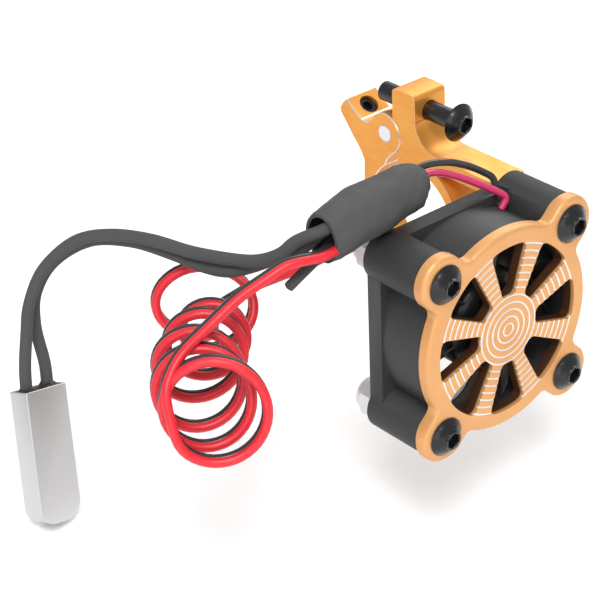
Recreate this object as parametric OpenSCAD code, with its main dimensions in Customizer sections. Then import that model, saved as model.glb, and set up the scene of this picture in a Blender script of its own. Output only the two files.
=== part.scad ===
// Clamp-on axial cooling fan with a round finger guard, a screw-closed two-jaw clamp,
// and a thermal switch and a power lead on short cords.
// Frame: origin at the centre of the clamp's bore, +X along the bore, +Z up, the guard faces -Y.

/* [Fan] */
// Side of the fan's square rear flange
fan_size = 30; // [27:0.5:36]
// Depth of the fan housing
fan_depth = 10; // [9:0.5:14]
// Distance from a screw hole's centre to the flange's edges
hole_inset = 3; // [2.5:0.1:3.5]
// Thickness of the square rear flange
flange_t = 2.6; // [1.5:0.1:3.5]
// Corner radius of the flange
flange_corner_r = 2.5; // [1:0.1:4]
// Wall of the round duct
duct_wall = 0.9; // [0.7:0.1:1.4]
// Radius of the four screw posts
post_r = 3.7; // [3:0.1:4.4]
// Number of fan blades
blade_count = 7; // [5:1:9]
// Thickness of a blade
blade_t = 0.7; // [0.5:0.1:1]
// Radius of the rotor hub
hub_r = 7.6; // [7.4:0.1:8]
// Running gap around the rotor
rotor_gap = 0.4; // [0.3:0.1:0.6]

/* [Guard] */
// Thickness of the finger guard
guard_t = 2; // [1.5:0.1:3]
// Width of the guard's outer rim
guard_rim = 2.3; // [1.8:0.1:3]
// Radius of the ears around the screws
ear_r = 4; // [3.4:0.1:4.6]
// Radius of the guard's solid centre
guard_hub_r = 5.3; // [4.5:0.1:6.5]
// Number of spokes
spoke_count = 8; // [6:1:10]
// Width of a spoke at the centre
spoke_in_w = 2; // [1.5:0.1:2.6]
// Width of a spoke at the rim
spoke_out_w = 3.1; // [2:0.1:3.6]
// Corner radius of the guard's windows
window_r = 0.9; // [0.5:0.1:1]

/* [Clamp] */
// Diameter of the round bar that the closed clamp grips
clamp_bore_d = 18; // [15:0.5:21.6]
// Width of both jaws along the bore
jaw_w = 6; // [5:0.5:8]
// Wall of the curved claws
claw_t = 1.6; // [1.3:0.1:2.2]
// Gap from the back of the fan to the clamp's bore centre
clamp_reach = 17; // [14:0.5:22]
// Height of the bore centre above the fan's centre
clamp_rise = 2.6; // [1:0.1:5]
// Diameter of the hinge pin
pin_d = 2.4; // [2:0.1:3]
// Outer radius of the hinge knuckle
knuckle_r = 3.2; // [2.8:0.1:3.6]
// Thickness of the arm that reaches the fan
arm_t = 2.3; // [1.8:0.1:3.2]
// Thickness of the foot that the fan is screwed to
foot_t = 3; // [2.5:0.1:4]
// Thickness of the front jaw's upright tab
tab_t = 4.8; // [4:0.1:6]
// Height of the upright tab above the arm
tab_h = 8.1; // [7:0.1:10]
// Gap between moving faces of the hinge
hinge_gap = 0.15; // [0.1:0.05:0.3]

/* [Screws] */
// Thread diameter of every screw
screw_d = 3; // [2.5:0.1:3.2]
// Head diameter
head_d = 5.7; // [5:0.1:6.4]
// Head height
head_h = 1.65; // [1.3:0.05:2]
// Width across flats of the hexagon socket
socket_af = 2; // [1.5:0.1:2.5]
// Length of the clamp screw under its head
clamp_screw_len = 16; // [14:0.5:20]
// Length of the set screw in the rear jaw
set_screw_len = 3; // [2:0.5:4]
// Width across flats of a lock nut
nut_af = 5.5; // [5:0.1:6]
// Height of a lock nut
nut_h = 4; // [3:0.1:4.5]

/* [Switch and leads] */
// Width of the thermal switch
switch_w = 7.5; // [6.5:0.1:9]
// Depth of the thermal switch
switch_d = 3.8; // [3.4:0.1:5]
// Length of the thermal switch
switch_len = 20; // [17:0.5:25]
// Sheet thickness of the switch's metal case
case_wall = 0.3; // [0.2:0.05:0.5]
// Diameter of a fan lead
fan_lead_d = 1.05; // [0.8:0.05:1.3]
// Diameter of a sensor lead
sensor_lead_d = 1.8; // [1.4:0.1:2]
// Diameter of the round solid that stands for the twin power lead
power_lead_d = 2.2; // [1.8:0.1:2.4]
// Wall of the shrink sleeve
sleeve_wall = 0.5; // [0.4:0.1:0.8]

/* [Hidden] */
$fn = 64;
tiny = 0.01;

gold = [0.85, 0.62, 0.30];
dark = [0.16, 0.16, 0.17];
steel = [0.75, 0.75, 0.76];
black_screw = [0.10, 0.10, 0.11];
lead_red = [0.85, 0.12, 0.18];
lead_black = [0.15, 0.15, 0.16];
brass = [0.78, 0.62, 0.30];

// ---- Fan, measured from the middle of its rear face, forwards along -Y ----
hole_half = fan_size / 2 - hole_inset;
fan_pos = [-hole_half, -clamp_reach, -clamp_rise];
hole_clear = 0.15;
hole_r = screw_d / 2 + hole_clear;
duct_or = fan_size / 2 - 0.3;
duct_ir = duct_or - duct_wall;
base_r = 7.2;
base_t = 1.1;
label_t = 0.15;
label_r = base_r - 0.7;
strut_w = 1.6;
tube_or = 2.4;
tube_ir = 2;
tube_front = fan_depth - 3;
shaft_r = 0.75;
bearing_w = 1.4;
board_t = 0.7;
board_r = 6.2;
stator_back = 2.9;
stator_w = 2.6;
stator_or = 5.2;
tooth_w = 1.7;
coil_grow = 0.6;
magnet_or = 6.35;
magnet_ir = magnet_or - 0.75;
yoke_or = magnet_or + 0.35;
cap_t = 1.1;
rotor_back = 2.4;
hub_front = fan_depth - 1;
blade_r = duct_ir - rotor_gap;
blade_tilt = 42;
blade_h = fan_depth - 3.75;
clip_t = 0.3;
lead_notch_w = 2.1;
lead_notch_x = 8.1;
lead_notch_depth = 1.8;

// ---- Guard ----
guard_or = fan_size / 2 + 0.3;
guard_ir = guard_or - guard_rim;
ear_blend_r = 1.6;

// ---- Clamp, drawn in the plane of Y and Z ----
bore_r = clamp_bore_d / 2;
claw_or = bore_r + claw_t;
pin_r = pin_d / 2;
pin_run = 0.05;
pin_y = 5.5;
pin_z = bore_r + 3.3;
arm_top = pin_z - 0.1;
arm_bottom = arm_top - arm_t;
tab_back = pin_y - 1.7;
tab_front = tab_back - tab_t;
tab_top = arm_top + tab_h;
arm_fillet_r = 4.2;
front_claw_end = 215;
rear_claw_end = -35;
claw_mid = (bore_r + claw_or) / 2;
bead_extra = 0.2;
tongue_w = 2.8;
tongue_slot = tongue_w + 2 * 0.1;
tongue_r = knuckle_r - 0.2;
foot_back = -clamp_reach + foot_t;
foot_bottom = -clamp_rise - fan_size / 2;
stop_y = 3.4;
clamp_screw_at = [0, tab_back, tab_top - 3];
clamp_screw_tip = 5.35;
screw_run = 0.05;
thread_gap = 0.02;
rear_tab_angle = 35.7;
set_screw_out = 6.9;
set_screw_angle = 13.7;
set_screw_sink = 0.5;

// ---- Leads ----
// The leads and what hangs on them keep their places beside the fan's top left corner
harness_move = [12 - hole_half, 17 - clamp_reach, fan_size / 2 - clamp_rise - 12.4];
lead_sides = 8;
route_steps = 3;
red_route = [[-21, -17.5, 15.6], [-18, -17.1, 17], [-15.4, -16.5, 18], [-11.9, -16.6, 16.9],
    [-8.3, -17.8, 14.9], [-5.4, -19.9, 13], [-4.4, -20.7, 11.9], [-5.4, -20.8, 10.6]];
black_route = [[-21, -15.5, 17], [-17.9, -15.5, 18], [-14.9, -15.2, 18.6], [-11.4, -15.9, 18.2],
    [-7.7, -16, 16.5], [-4.9, -16.5, 14.7], [-3.6, -17.4, 13.5], [-3.8, -18.1, 11.8]];
outer_route = [[-31, -17.6, 17.9], [-34.4, -17.2, 17], [-37.5, -15.2, 15.7], [-39.2, -13.9, 14],
    [-40.8, -11.6, 12.8], [-42.3, -8.6, 12.2], [-44.6, -1.9, 11.6], [-46.6, 5, 11.6], [-48.9, 11.5, 10.7],
    [-51.3, 16.7, 8.4], [-54, 21.2, 3.3], [-56, 22.9, -2.3], [-57.4, 22.4, -6.7], [-58.6, 21.8, -11.1],
    [-59.3, 21.1, -14.4]];
inner_route = [[-31, -15.4, 16.6], [-36.2, -14.5, 13.8], [-38.2, -12.3, 12.6], [-40.1, -9.9, 10.9],
    [-42.6, -6.9, 9.7], [-43.8, -2.5, 9.2], [-45, 2.7, 9.6], [-46.2, 10.2, 9.1], [-48.9, 16.6, 7.7],
    [-51.8, 21.9, 3.4], [-53.9, 24.2, -1.7], [-54.7, 24.2, -6.9], [-54.9, 22.5, -12.4], [-55.5, 21.5, -15.3]];
run_route = [[-31, -17.8, 14.3], [-36.2, -19, 14.7], [-39.2, -18.6, 15], [-41.6, -17.8, 14.9],
    [-44.3, -17.1, 13.8], [-48.6, -16.3, 12.2], [-53.4, -16.1, 9.9], [-57.6, -16.2, 8.2], [-60.6, -16.9, 6.1]];
end_route = [[-40.5, 1.4, -3.6], [-38.8, 2.9, -3.1], [-37.6, 2.9, -2], [-36, 0.6, 0.2], [-34.4, -2, 2.5],
    [-31.3, -5.8, 4.9], [-28, -8.5, 6.8], [-24.8, -10.1, 8.1], [-20.6, -11.2, 8], [-17.9, -12, 5.8],
    [-17.2, -12.2, 3.3]];
tail_route = [[-31, -15.2, 14], [-35, -16.2, 12.6], [-38.6, -16.6, 11.4], [-41.6, -16.8, 10.2]];

// ---- Coil of the power lead ----
coil_at = [-57.6, -22.5, 1.9] + harness_move;
coil_yaw = 55;
coil_len = 28;
coil_waist_at = 22;
coil_front_r = 6.45;
coil_waist_r = 4.8;
coil_back_r = 5.8;
coil_pad = 1.8;

// ---- Sleeve: x, y, z and half sizes along Y and Z of its sections, from the mouth to the neck ----
sleeve_mouth = [-34.9, -16.6, 15.3, 3.85, 3.75];
sleeve_mid = [-27.8, -16.6, 16.8, 4.2, 4];
sleeve_end = [-20, -16.6, 17.3, 3.65, 3.7];
sleeve_shoulder = [-18.2, -16.5, 17.25, 3.3, 3.5];
sleeve_neck = [-16.2, -16.2, 17.5, 2.4, 2.2];

// ---- Switch ----
switch_pos = [-57.3, 21.2, -15] + harness_move;
switch_tilt = [-17, 13, 6.6];
case_bottom_r = 2.7;
resin_depth = 2.5;
liner_t = 0.2;
terminal_t = 0.3;
terminal_w = 4.4;

// ---- Plug ----
plug_pos = [-17.2, -12.2, 3.5] + harness_move;
plug_size = [6, 3.2, 12];
contact_size = [1.7, 1.7, 8];
contact_pitch = 2.5;
contact_wall = 0.25;

// Smooth curve through a list of points
function curve_point(p, i, t) =
    let(a = p[max(i - 1, 0)], b = p[i], c = p[i + 1], d = p[min(i + 2, len(p) - 1)])
    0.5 * (2 * b + (c - a) * t + (2 * a - 5 * b + 4 * c - d) * t * t + (3 * b - a - 3 * c + d) * t * t * t);
function curve(p, n) =
    concat([for (i = [0 : len(p) - 2]) for (k = [0 : n - 1]) curve_point(p, i, k / n)], [p[len(p) - 1]]);
function unit(v) = v / norm(v);
function heading(c, i) = unit(c[min(i + 1, len(c) - 1)] - c[max(i - 1, 0)]);
function side_of(h) = unit(cross(h, abs(h[2]) > 0.9 ? [1, 0, 0] : [0, 0, 1]));
function carry(v, h) = unit(v - h * (v * h));
function sides(c, i = 0, last = undef) =
    i >= len(c) ? [] :
    let(h = heading(c, i), s = is_undef(last) ? side_of(h) : carry(last, h))
    concat([s], sides(c, i + 1, s));

// A round lead swept along a route
module lead(route, d) {
    c = [for (p = curve(route, route_steps)) p + harness_move];
    s = sides(c);
    n = lead_sides;
    points = [for (i = [0 : len(c) - 1]) let(h = heading(c, i), u = s[i], v = cross(h, u))
        for (k = [0 : n - 1]) c[i] + (u * cos(360 * k / n) + v * sin(360 * k / n)) * d / 2];
    walls = [for (i = [0 : len(c) - 2]) for (k = [0 : n - 1]) let(m = (k + 1) % n)
        [i * n + k, (i + 1) * n + k, (i + 1) * n + m, i * n + m]];
    first = [for (k = [0 : n - 1]) k];
    last = [for (k = [n - 1 : -1 : 0]) (len(c) - 1) * n + k];
    polyhedron(points, concat(walls, [first, last]), convexity = 6);
}

// Places children in the fan's own space: Z runs forwards from the rear face, Y is up
module in_fan() { translate(fan_pos) rotate([90, 0, 0]) children(); }
module at_holes() { for (x = [-1, 1], y = [-1, 1]) translate([x * hole_half, y * hole_half]) children(); }
module ring(outer, inner, h, z = 0) {
    translate([0, 0, z]) difference() {
        cylinder(r = outer, h = h);
        translate([0, 0, -1]) cylinder(r = inner, h = h + 2);
    }
}

module rounded_square(side, r) {
    square([side - 2 * r, side], center = true);
    square([side, side - 2 * r], center = true);
    for (x = [-1, 1], y = [-1, 1]) translate([x, y] * (side / 2 - r)) circle(r);
}

// ---- Fan ----
module fan_frame() {
    color(dark) in_fan() {
        difference() {
            union() {
                linear_extrude(flange_t) rounded_square(fan_size, flange_corner_r);
                cylinder(r = duct_or, h = fan_depth);
                at_holes() cylinder(r = post_r, h = fan_depth);
            }
            translate([0, 0, -1]) cylinder(r = duct_ir, h = fan_depth + 2);
            at_holes() translate([0, 0, -1]) cylinder(r = hole_r, h = fan_depth + 2);
            translate([lead_notch_x - lead_notch_w / 2, fan_size / 2 - lead_notch_depth, -1])
                cube([lead_notch_w, lead_notch_depth + 1, flange_t + 2]);
        }
        difference() {
            union() {
                cylinder(r = base_r, h = base_t);
                for (a = [45 : 90 : 315]) rotate(a) translate([base_r - 1, -strut_w / 2, 0])
                    cube([duct_ir - base_r + 1.3, strut_w, base_t]);
                cylinder(r = tube_or + 0.7, h = base_t + 0.6);
            }
            translate([0, 0, -1]) cylinder(r = label_r, h = label_t + 1);
            translate([0, 0, 0.6]) cylinder(r = tube_or, h = fan_depth);
            translate([0, 0, label_t + 0.1]) cylinder(r = tube_ir, h = fan_depth);
        }
    }
}
module hub_label() { color("white") in_fan() cylinder(r = label_r, h = label_t); }
module bearing_tube() { color(brass) in_fan() ring(tube_or, tube_ir, tube_front - 0.6, 0.6); }
module bearing(z) { color(steel) in_fan() ring(tube_ir, shaft_r + 0.02, bearing_w, z); }
module rear_bearing() { bearing(1.4); }
module front_bearing() { bearing(tube_front - bearing_w - 0.1); }
module circuit_board() { color("darkgreen") in_fan() ring(board_r, tube_or + 0.75, board_t, base_t); }
module stator_teeth(grow) {
    for (a = [0 : 90 : 270]) rotate(a) translate([tube_or, -tooth_w / 2 - grow, -grow])
        cube([stator_or - tube_or - 0.6, tooth_w + 2 * grow, stator_w + 2 * grow]);
}
module stator_core() {
    color(steel) in_fan() translate([0, 0, stator_back]) {
        ring(tube_or + 0.6, tube_or, stator_w);
        intersection() {
            for (a = [0 : 90 : 270]) rotate(a) union() {
                translate([tube_or + 0.3, -tooth_w / 2, 0]) cube([stator_or - tube_or, tooth_w, stator_w]);
                translate([stator_or - 0.7, -2.8, 0]) cube([1, 5.6, stator_w]);
            }
            cylinder(r = stator_or, h = stator_w);
        }
    }
}
module stator_winding() {
    color("peru") in_fan() translate([0, 0, stator_back]) difference() {
        union() {
            intersection() {
                stator_teeth(coil_grow);
                translate([0, 0, -coil_grow]) cylinder(r = stator_or - 0.75, h = stator_w + 2 * coil_grow);
            }
            ring(tube_or + 1, tube_or + 0.6, stator_w + 2 * coil_grow, -coil_grow);
        }
        ring(tube_or + 0.6, 0.1, stator_w + 4, -2);
        for (a = [0 : 90 : 270]) rotate(a) translate([tube_or, -tooth_w / 2, 0])
            cube([stator_or, tooth_w, stator_w]);
    }
}
// One flat blade, tilted about the radius that it stands on
module blade() {
    slant = blade_h / cos(blade_tilt);
    intersection() {
        translate([0, 0, blade_h / 2]) rotate([blade_tilt, 0, 0])
            translate([hub_r - 0.5, -blade_t / 2, -slant]) cube([blade_r, blade_t, 2 * slant]);
        difference() {
            cylinder(r = blade_r, h = blade_h);
            translate([0, 0, -1]) cylinder(r = hub_r - 0.2, h = blade_h + 2);
        }
    }
}
module impeller() {
    color(dark) in_fan() {
        difference() {
            translate([0, 0, rotor_back]) cylinder(r = hub_r, h = hub_front - rotor_back);
            translate([0, 0, rotor_back - 1]) cylinder(r = yoke_or, h = hub_front - cap_t - rotor_back + 1);
            translate([0, 0, rotor_back]) cylinder(r = shaft_r, h = hub_front - rotor_back - 0.4);
        }
        for (i = [0 : blade_count - 1]) rotate(i * 360 / blade_count)
            translate([0, 0, rotor_back + 0.2]) blade();
    }
}
module rotor_yoke() {
    color(steel) in_fan() translate([0, 0, rotor_back]) difference() {
        cylinder(r = yoke_or, h = hub_front - cap_t - rotor_back);
        translate([0, 0, -1]) cylinder(r = magnet_or, h = hub_front - cap_t - rotor_back + 0.6);
        cylinder(r = shaft_r, h = fan_depth);
    }
}
module magnet_ring() { color("dimgray") in_fan() ring(magnet_or, magnet_ir, 4.4, rotor_back + 0.1); }
module shaft() {
    color(steel) in_fan() translate([0, 0, 0.6])
        cylinder(r = shaft_r, h = hub_front - 0.4 - 0.6);
}
module retaining_clip() { color("white") in_fan() ring(1.5, shaft_r, clip_t, 0.9); }

// ---- Guard ----
function polar(r, a) = [r * cos(a), r * sin(a)];
// One window as a single outline: rounded corners at the hub end and at the rim end
function arc(c, r, from, to, n) = [for (i = [0 : n]) c + polar(r, from + (to - from) * i / n)];
module guard_window() {
    half = 180 / spoke_count;
    ra = guard_hub_r + window_r;
    rb = guard_ir - window_r;
    a_in = half - asin((spoke_in_w / 2 + window_r) / ra);
    a_out = half - asin((spoke_out_w / 2 + window_r) / rb);
    side = polar(rb, a_out) - polar(ra, a_in);
    turn = atan2(side[1], side[0]) + 90;
    polygon(concat(
        arc([0, 0], guard_ir, -a_out, a_out, 10),
        arc(polar(rb, a_out), window_r, a_out + 12, turn, 5),
        arc(polar(ra, a_in), window_r, turn, 180 + a_in, 5),
        arc([0, 0], guard_hub_r, a_in * 0.9, -a_in * 0.9, 3),
        arc(polar(ra, -a_in), window_r, 180 - a_in, 360 - turn, 5),
        arc(polar(rb, -a_out), window_r, 360 - turn, 360 - a_out - 12, 5)));
}
// Concave blends between the rim and each ear
module ear_blends() {
    ear_at = hole_half * sqrt(2);
    reach_rim = guard_or + ear_blend_r;
    reach_ear = ear_r + ear_blend_r;
    along = (reach_rim * reach_rim + ear_at * ear_at - reach_ear * reach_ear) / (2 * ear_at);
    across = sqrt(reach_rim * reach_rim - along * along);
    middle = [along, across];
    to_rim = atan2(across, along) + 180;
    to_ear = 360 + atan2(-across, ear_at - along);
    curve = arc(middle, ear_blend_r, to_rim + 8, to_ear - 8, 6);
    outline = concat([[along - 3, 0], middle * (guard_or - 0.2) / reach_rim], curve,
        [[ear_at, 0] + (middle - [ear_at, 0]) * (ear_r - 0.2) / reach_ear, [ear_at, 0]]);
    for (a = [45 : 90 : 315], s = [0, 1]) rotate(a) mirror([0, s, 0])
        linear_extrude(guard_t) polygon(outline);
}
module fan_guard() {
    color(gold) in_fan() translate([0, 0, fan_depth]) difference() {
        union() {
            cylinder(r = guard_or, h = guard_t);
            at_holes() cylinder(r = ear_r, h = guard_t);
            ear_blends();
        }
        for (i = [0 : spoke_count - 1]) rotate(i * 360 / spoke_count)
            translate([0, 0, -1]) linear_extrude(guard_t + 2) guard_window();
        at_holes() translate([0, 0, -1]) cylinder(r = hole_r, h = guard_t + 2);
    }
}

// ---- Screws and nuts ----
// Button-head screw: the head sits on Z = 0 and the thread runs down
module button_screw(length) {
    dome_r = (head_d * head_d / 4 + head_h * head_h) / (2 * head_h);
    difference() {
        union() {
            intersection() {
                cylinder(r = head_d / 2, h = head_h);
                translate([0, 0, head_h - dome_r]) sphere(dome_r);
            }
            translate([0, 0, -length]) cylinder(d = screw_d, h = length + tiny);
        }
        translate([0, 0, head_h - 1]) cylinder(d = socket_af / cos(30), h = 2, $fn = 6);
    }
}
module guard_screw(x, y, length) {
    color(black_screw) in_fan() translate([x * hole_half, y * hole_half, fan_depth + guard_t])
        button_screw(length);
}
nut_screw_len = guard_t + fan_depth + nut_h;
foot_screw_len = guard_t + fan_depth + foot_t - 1;
module guard_screw_tl() { guard_screw(-1, 1, nut_screw_len); }
module guard_screw_bl() { guard_screw(-1, -1, nut_screw_len); }
module guard_screw_tr() { guard_screw(1, 1, foot_screw_len); }
module guard_screw_br() { guard_screw(1, -1, foot_screw_len); }
insert_h = 1.1;
insert_r = 2.3;
module lock_nut(y) {
    color(steel) in_fan() translate([-hole_half, y * hole_half, -nut_h]) difference() {
        union() {
            translate([0, 0, insert_h + 0.2])
                cylinder(d = nut_af / cos(30), h = nut_h - insert_h - 0.2, $fn = 6);
            cylinder(r1 = insert_r + 0.2, r2 = nut_af / 2, h = insert_h + 0.2 + tiny);
        }
        translate([0, 0, -1]) cylinder(d = screw_d, h = nut_h + 2);
        translate([0, 0, 0.1]) cylinder(r = insert_r - 0.2, h = insert_h - 0.1);
    }
}
module lock_nut_top() { lock_nut(1); }
module lock_nut_bottom() { lock_nut(-1); }
module nut_insert(y) {
    color("white") in_fan() translate([-hole_half, y * hole_half, -nut_h])
        ring(insert_r - 0.2, screw_d / 2, insert_h - 0.1, 0.1);
}
module nut_insert_top() { nut_insert(1); }
module nut_insert_bottom() { nut_insert(-1); }

// ---- Clamp ----
// In the jaws' own space X and Y of a drawing lie along Y and Z, and Z runs along the bore
module in_jaw() { rotate([90, 0, 90]) children(); }
module slab(w) { in_jaw() translate([0, 0, -w / 2]) linear_extrude(w) children(); }
module bar(w, r, at = [0, 0]) { in_jaw() translate([at[0], at[1], -w / 2]) cylinder(r = r, h = w); }
// A curved claw around the bore, with a small bead at its end
module claw(from, to, end) {
    in_jaw() intersection() {
        difference() {
            translate([0, 0, -jaw_w / 2]) cylinder(r = claw_or, h = jaw_w);
            translate([0, 0, -jaw_w]) cylinder(r = bore_r - 0.4, h = 2 * jaw_w);
        }
        translate([0, 0, -jaw_w]) linear_extrude(2 * jaw_w)
            polygon(concat([[0, 0]], [for (k = [0 : 4]) polar(2 * claw_or, from + (to - from) * k / 4)]));
    }
    bar(jaw_w, claw_t / 2 + bead_extra, polar(claw_mid + bead_extra, end));
}
module front_solid() {
    // arm, upright tab and the foot behind the fan
    slab(jaw_w) translate([-clamp_reach, arm_bottom]) square([clamp_reach + tab_back, arm_t]);
    slab(jaw_w) translate([tab_front, arm_bottom]) square([tab_t, tab_top - arm_bottom]);
    slab(jaw_w) translate([-clamp_reach, foot_bottom]) square([foot_t, arm_top - foot_bottom]);
    // round inside corner between the tab and the arm
    corner = tab_front - arm_fillet_r;
    difference() {
        slab(jaw_w) translate([corner, arm_top - 0.1]) square([arm_fillet_r + 0.1, arm_fillet_r]);
        bar(jaw_w + 2, arm_fillet_r - 0.03, [corner, arm_top + arm_fillet_r]);
    }
    // body between the arm and the bore
    slab(jaw_w) polygon([[-4, arm_top - 0.1], [tab_back, arm_top - 0.1], [stop_y, bore_r + 1],
        [stop_y - 1.2, bore_r - 0.8], [-4, bore_r - 1.2]]);
    claw(85, front_claw_end, front_claw_end);
}
module front_jaw() {
    color(gold) difference() {
        union() {
            difference() {
                front_solid();
                bar(jaw_w + 2, knuckle_r + hinge_gap, [pin_y, pin_z]);
            }
            bar(tongue_w, tongue_r, [pin_y, pin_z]);
            slab(tongue_w) polygon([[tab_front + 0.5, arm_bottom + 0.5], [stop_y - 0.4, bore_r + 1.2],
                [pin_y, pin_z - tongue_r + 0.1], [pin_y, pin_z + tongue_r - 0.1],
                [tab_back - 0.3, pin_z + tongue_r + 0.6], [tab_front + 0.5, pin_z]]);
        }
        bar(jaw_w + 2, bore_r);
        bar(jaw_w + 2, pin_r + pin_run, [pin_y, pin_z]);
        on_clamp_screw() translate([0, 0, -2 * tab_t]) cylinder(r = screw_d / 2 + screw_run, h = 4 * tab_t);
        in_fan() for (y = [-1, 1]) translate([hole_half, y * hole_half, -foot_t - 1])
            cylinder(r = screw_d / 2 + thread_gap, h = foot_t + 1.5);
    }
}
module rear_solid() {
    bar(jaw_w, knuckle_r, [pin_y, pin_z]);
    // leaning tab and shoulder, as steps from the hinge pin
    steps = [[-0.4, 3], [2, 2], [4, 0.45], [5.2, 0.55], [8.4, 2.85], [9.3, 2.1], [9.95, 1.1], [9.9, 0.4],
        [7.2, -2.8], [5.4, -4.8], [4.8, -6]];
    slab(jaw_w) polygon(concat([for (p = steps) [pin_y, pin_z] + p],
        [[claw_or - 0.2, pin_z - 8.4], [claw_or - 0.2, 0.5], [bore_r - 1, 0.5],
        [pin_y - 0.3, pin_z - 4.2], [pin_y - 1.9, pin_z - 2.4]]));
    claw(rear_claw_end, 12, rear_claw_end);
}
module rear_jaw() {
    color(gold) difference() {
        rear_solid();
        bar(jaw_w + 2, bore_r);
        bar(tongue_slot, knuckle_r + 0.35, [pin_y, pin_z]);
        slab(tongue_slot) polygon([[pin_y - 5, pin_z - 6], [pin_y, pin_z - 3.2], [pin_y, pin_z + 5],
            [pin_y - 5, pin_z + 5]]);
        bar(jaw_w + 2, pin_r, [pin_y, pin_z]);
        on_set_screw() translate([0, 0, -6]) cylinder(d = screw_d, h = 12);
    }
}
module hinge_pin() {
    color(steel) translate([-jaw_w / 2, pin_y, pin_z]) rotate([0, 90, 0]) cylinder(r = pin_r, h = jaw_w);
}
// Z runs along the clamp screw from its tip towards its head, from the back face of the tab
module on_clamp_screw() {
    translate(clamp_screw_at) rotate([90, 0, 0]) children();
}
module clamp_screw() {
    color(black_screw) on_clamp_screw() translate([0, 0, clamp_screw_len - clamp_screw_tip])
        button_screw(clamp_screw_len);
}
// Z runs out of the front face of the rear jaw's leaning tab
module on_set_screw() {
    translate([0, pin_y, pin_z] + set_screw_out * [0, cos(set_screw_angle), sin(set_screw_angle)])
        rotate([rear_tab_angle, 0, 0]) children();
}
module set_screw() {
    color(black_screw) on_set_screw() translate([0, 0, -set_screw_len - set_screw_sink]) difference() {
        cylinder(d = screw_d, h = set_screw_len);
        translate([0, 0, set_screw_len - 1.2]) cylinder(d = 1.5 / cos(30), h = 2, $fn = 6);
    }
}

// ---- Leads and splice ----
module fan_lead_red() { color(lead_red) lead(red_route, fan_lead_d); }
module fan_lead_black() { color(lead_black) lead(black_route, fan_lead_d); }
module sensor_lead_outer() { color(lead_black) lead(outer_route, sensor_lead_d); }
module sensor_lead_inner() { color(lead_black) lead(inner_route, sensor_lead_d); }
module power_lead_run() { color(lead_red) lead(run_route, power_lead_d); }
module power_lead_end() { color(lead_red) lead(end_route, power_lead_d); }
module splice_tail() { color(lead_black) lead(tail_route, sensor_lead_d); }
module power_lead_coil() {
    r = power_lead_d / 2;
    color(lead_red) translate(coil_at) rotate([0, 0, coil_yaw]) rotate([0, 90, 0]) rotate_extrude()
        polygon([[coil_front_r - r, -coil_pad], [coil_front_r + r, -coil_pad],
            [coil_waist_r + r, coil_waist_at], [coil_back_r + r, coil_len + coil_pad], [coil_back_r - r, coil_len + coil_pad],
            [coil_waist_r - r, coil_waist_at]]);
}
module sleeve_disc(at, shrink, shift = 0) {
    translate([at[0] + (shrink > 0 ? shift : 0), at[1], at[2]]) rotate([0, 90, 0])
        scale([at[4] - shrink, at[3] - shrink, 1]) cylinder(r = 1, h = 0.1, $fn = 32);
}
module sleeve_solid(shrink) {
    translate(harness_move) {
        hull() {
            sleeve_disc(sleeve_mouth, shrink, -0.5);
            sleeve_disc(sleeve_mid, shrink);
            sleeve_disc(sleeve_end, shrink);
        }
        hull() {
            sleeve_disc(sleeve_end, shrink);
            sleeve_disc(sleeve_shoulder, shrink);
            sleeve_disc(sleeve_neck, shrink / 2, 0.5);
        }
    }
}
module splice_sleeve() {
    color(dark) difference() {
        sleeve_solid(0);
        sleeve_solid(sleeve_wall);
    }
}
module splice_joint(y, z) {
    color(steel) translate(harness_move + [-29.5, y, z]) rotate([0, 90, 0]) cylinder(r = 0.9, h = 8);
}
module splice_joint_red() { splice_joint(-17.9, 15.4); }
module splice_joint_black() { splice_joint(-15.3, 16.9); }

// ---- Power plug ----
module at_contact(side) { translate(plug_pos + [side * contact_pitch / 2, 0, -plug_size[2]]) children(); }
module power_plug() {
    color("white") difference() {
        translate(plug_pos - [plug_size[0] / 2, plug_size[1] / 2, plug_size[2]]) cube(plug_size);
        for (s = [-1, 1]) at_contact(s) translate([-contact_size[0] / 2, -contact_size[1] / 2, -1])
            cube(contact_size + [0, 0, 1]);
        translate(plug_pos + [0, 0, -2.5]) cylinder(d = power_lead_d, h = 3);
    }
}
module plug_contact(side) {
    color(brass) at_contact(side) translate([-contact_size[0] / 2, -contact_size[1] / 2, 0.3]) difference() {
        cube(contact_size - [0, 0, 0.3]);
        translate([contact_wall, contact_wall, -1])
            cube([contact_size[0] - 2 * contact_wall, contact_size[1] - 2 * contact_wall, contact_size[2] - 1]);
    }
}
module plug_contact_left() { plug_contact(-1); }
module plug_contact_right() { plug_contact(1); }

// ---- Thermal switch: Z runs up its length from the middle of its open top ----
module in_switch() { translate(switch_pos) rotate(switch_tilt) children(); }
module block(w, d, from, to) { translate([-w / 2, -d / 2, from]) cube([w, d, to - from]); }
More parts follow.
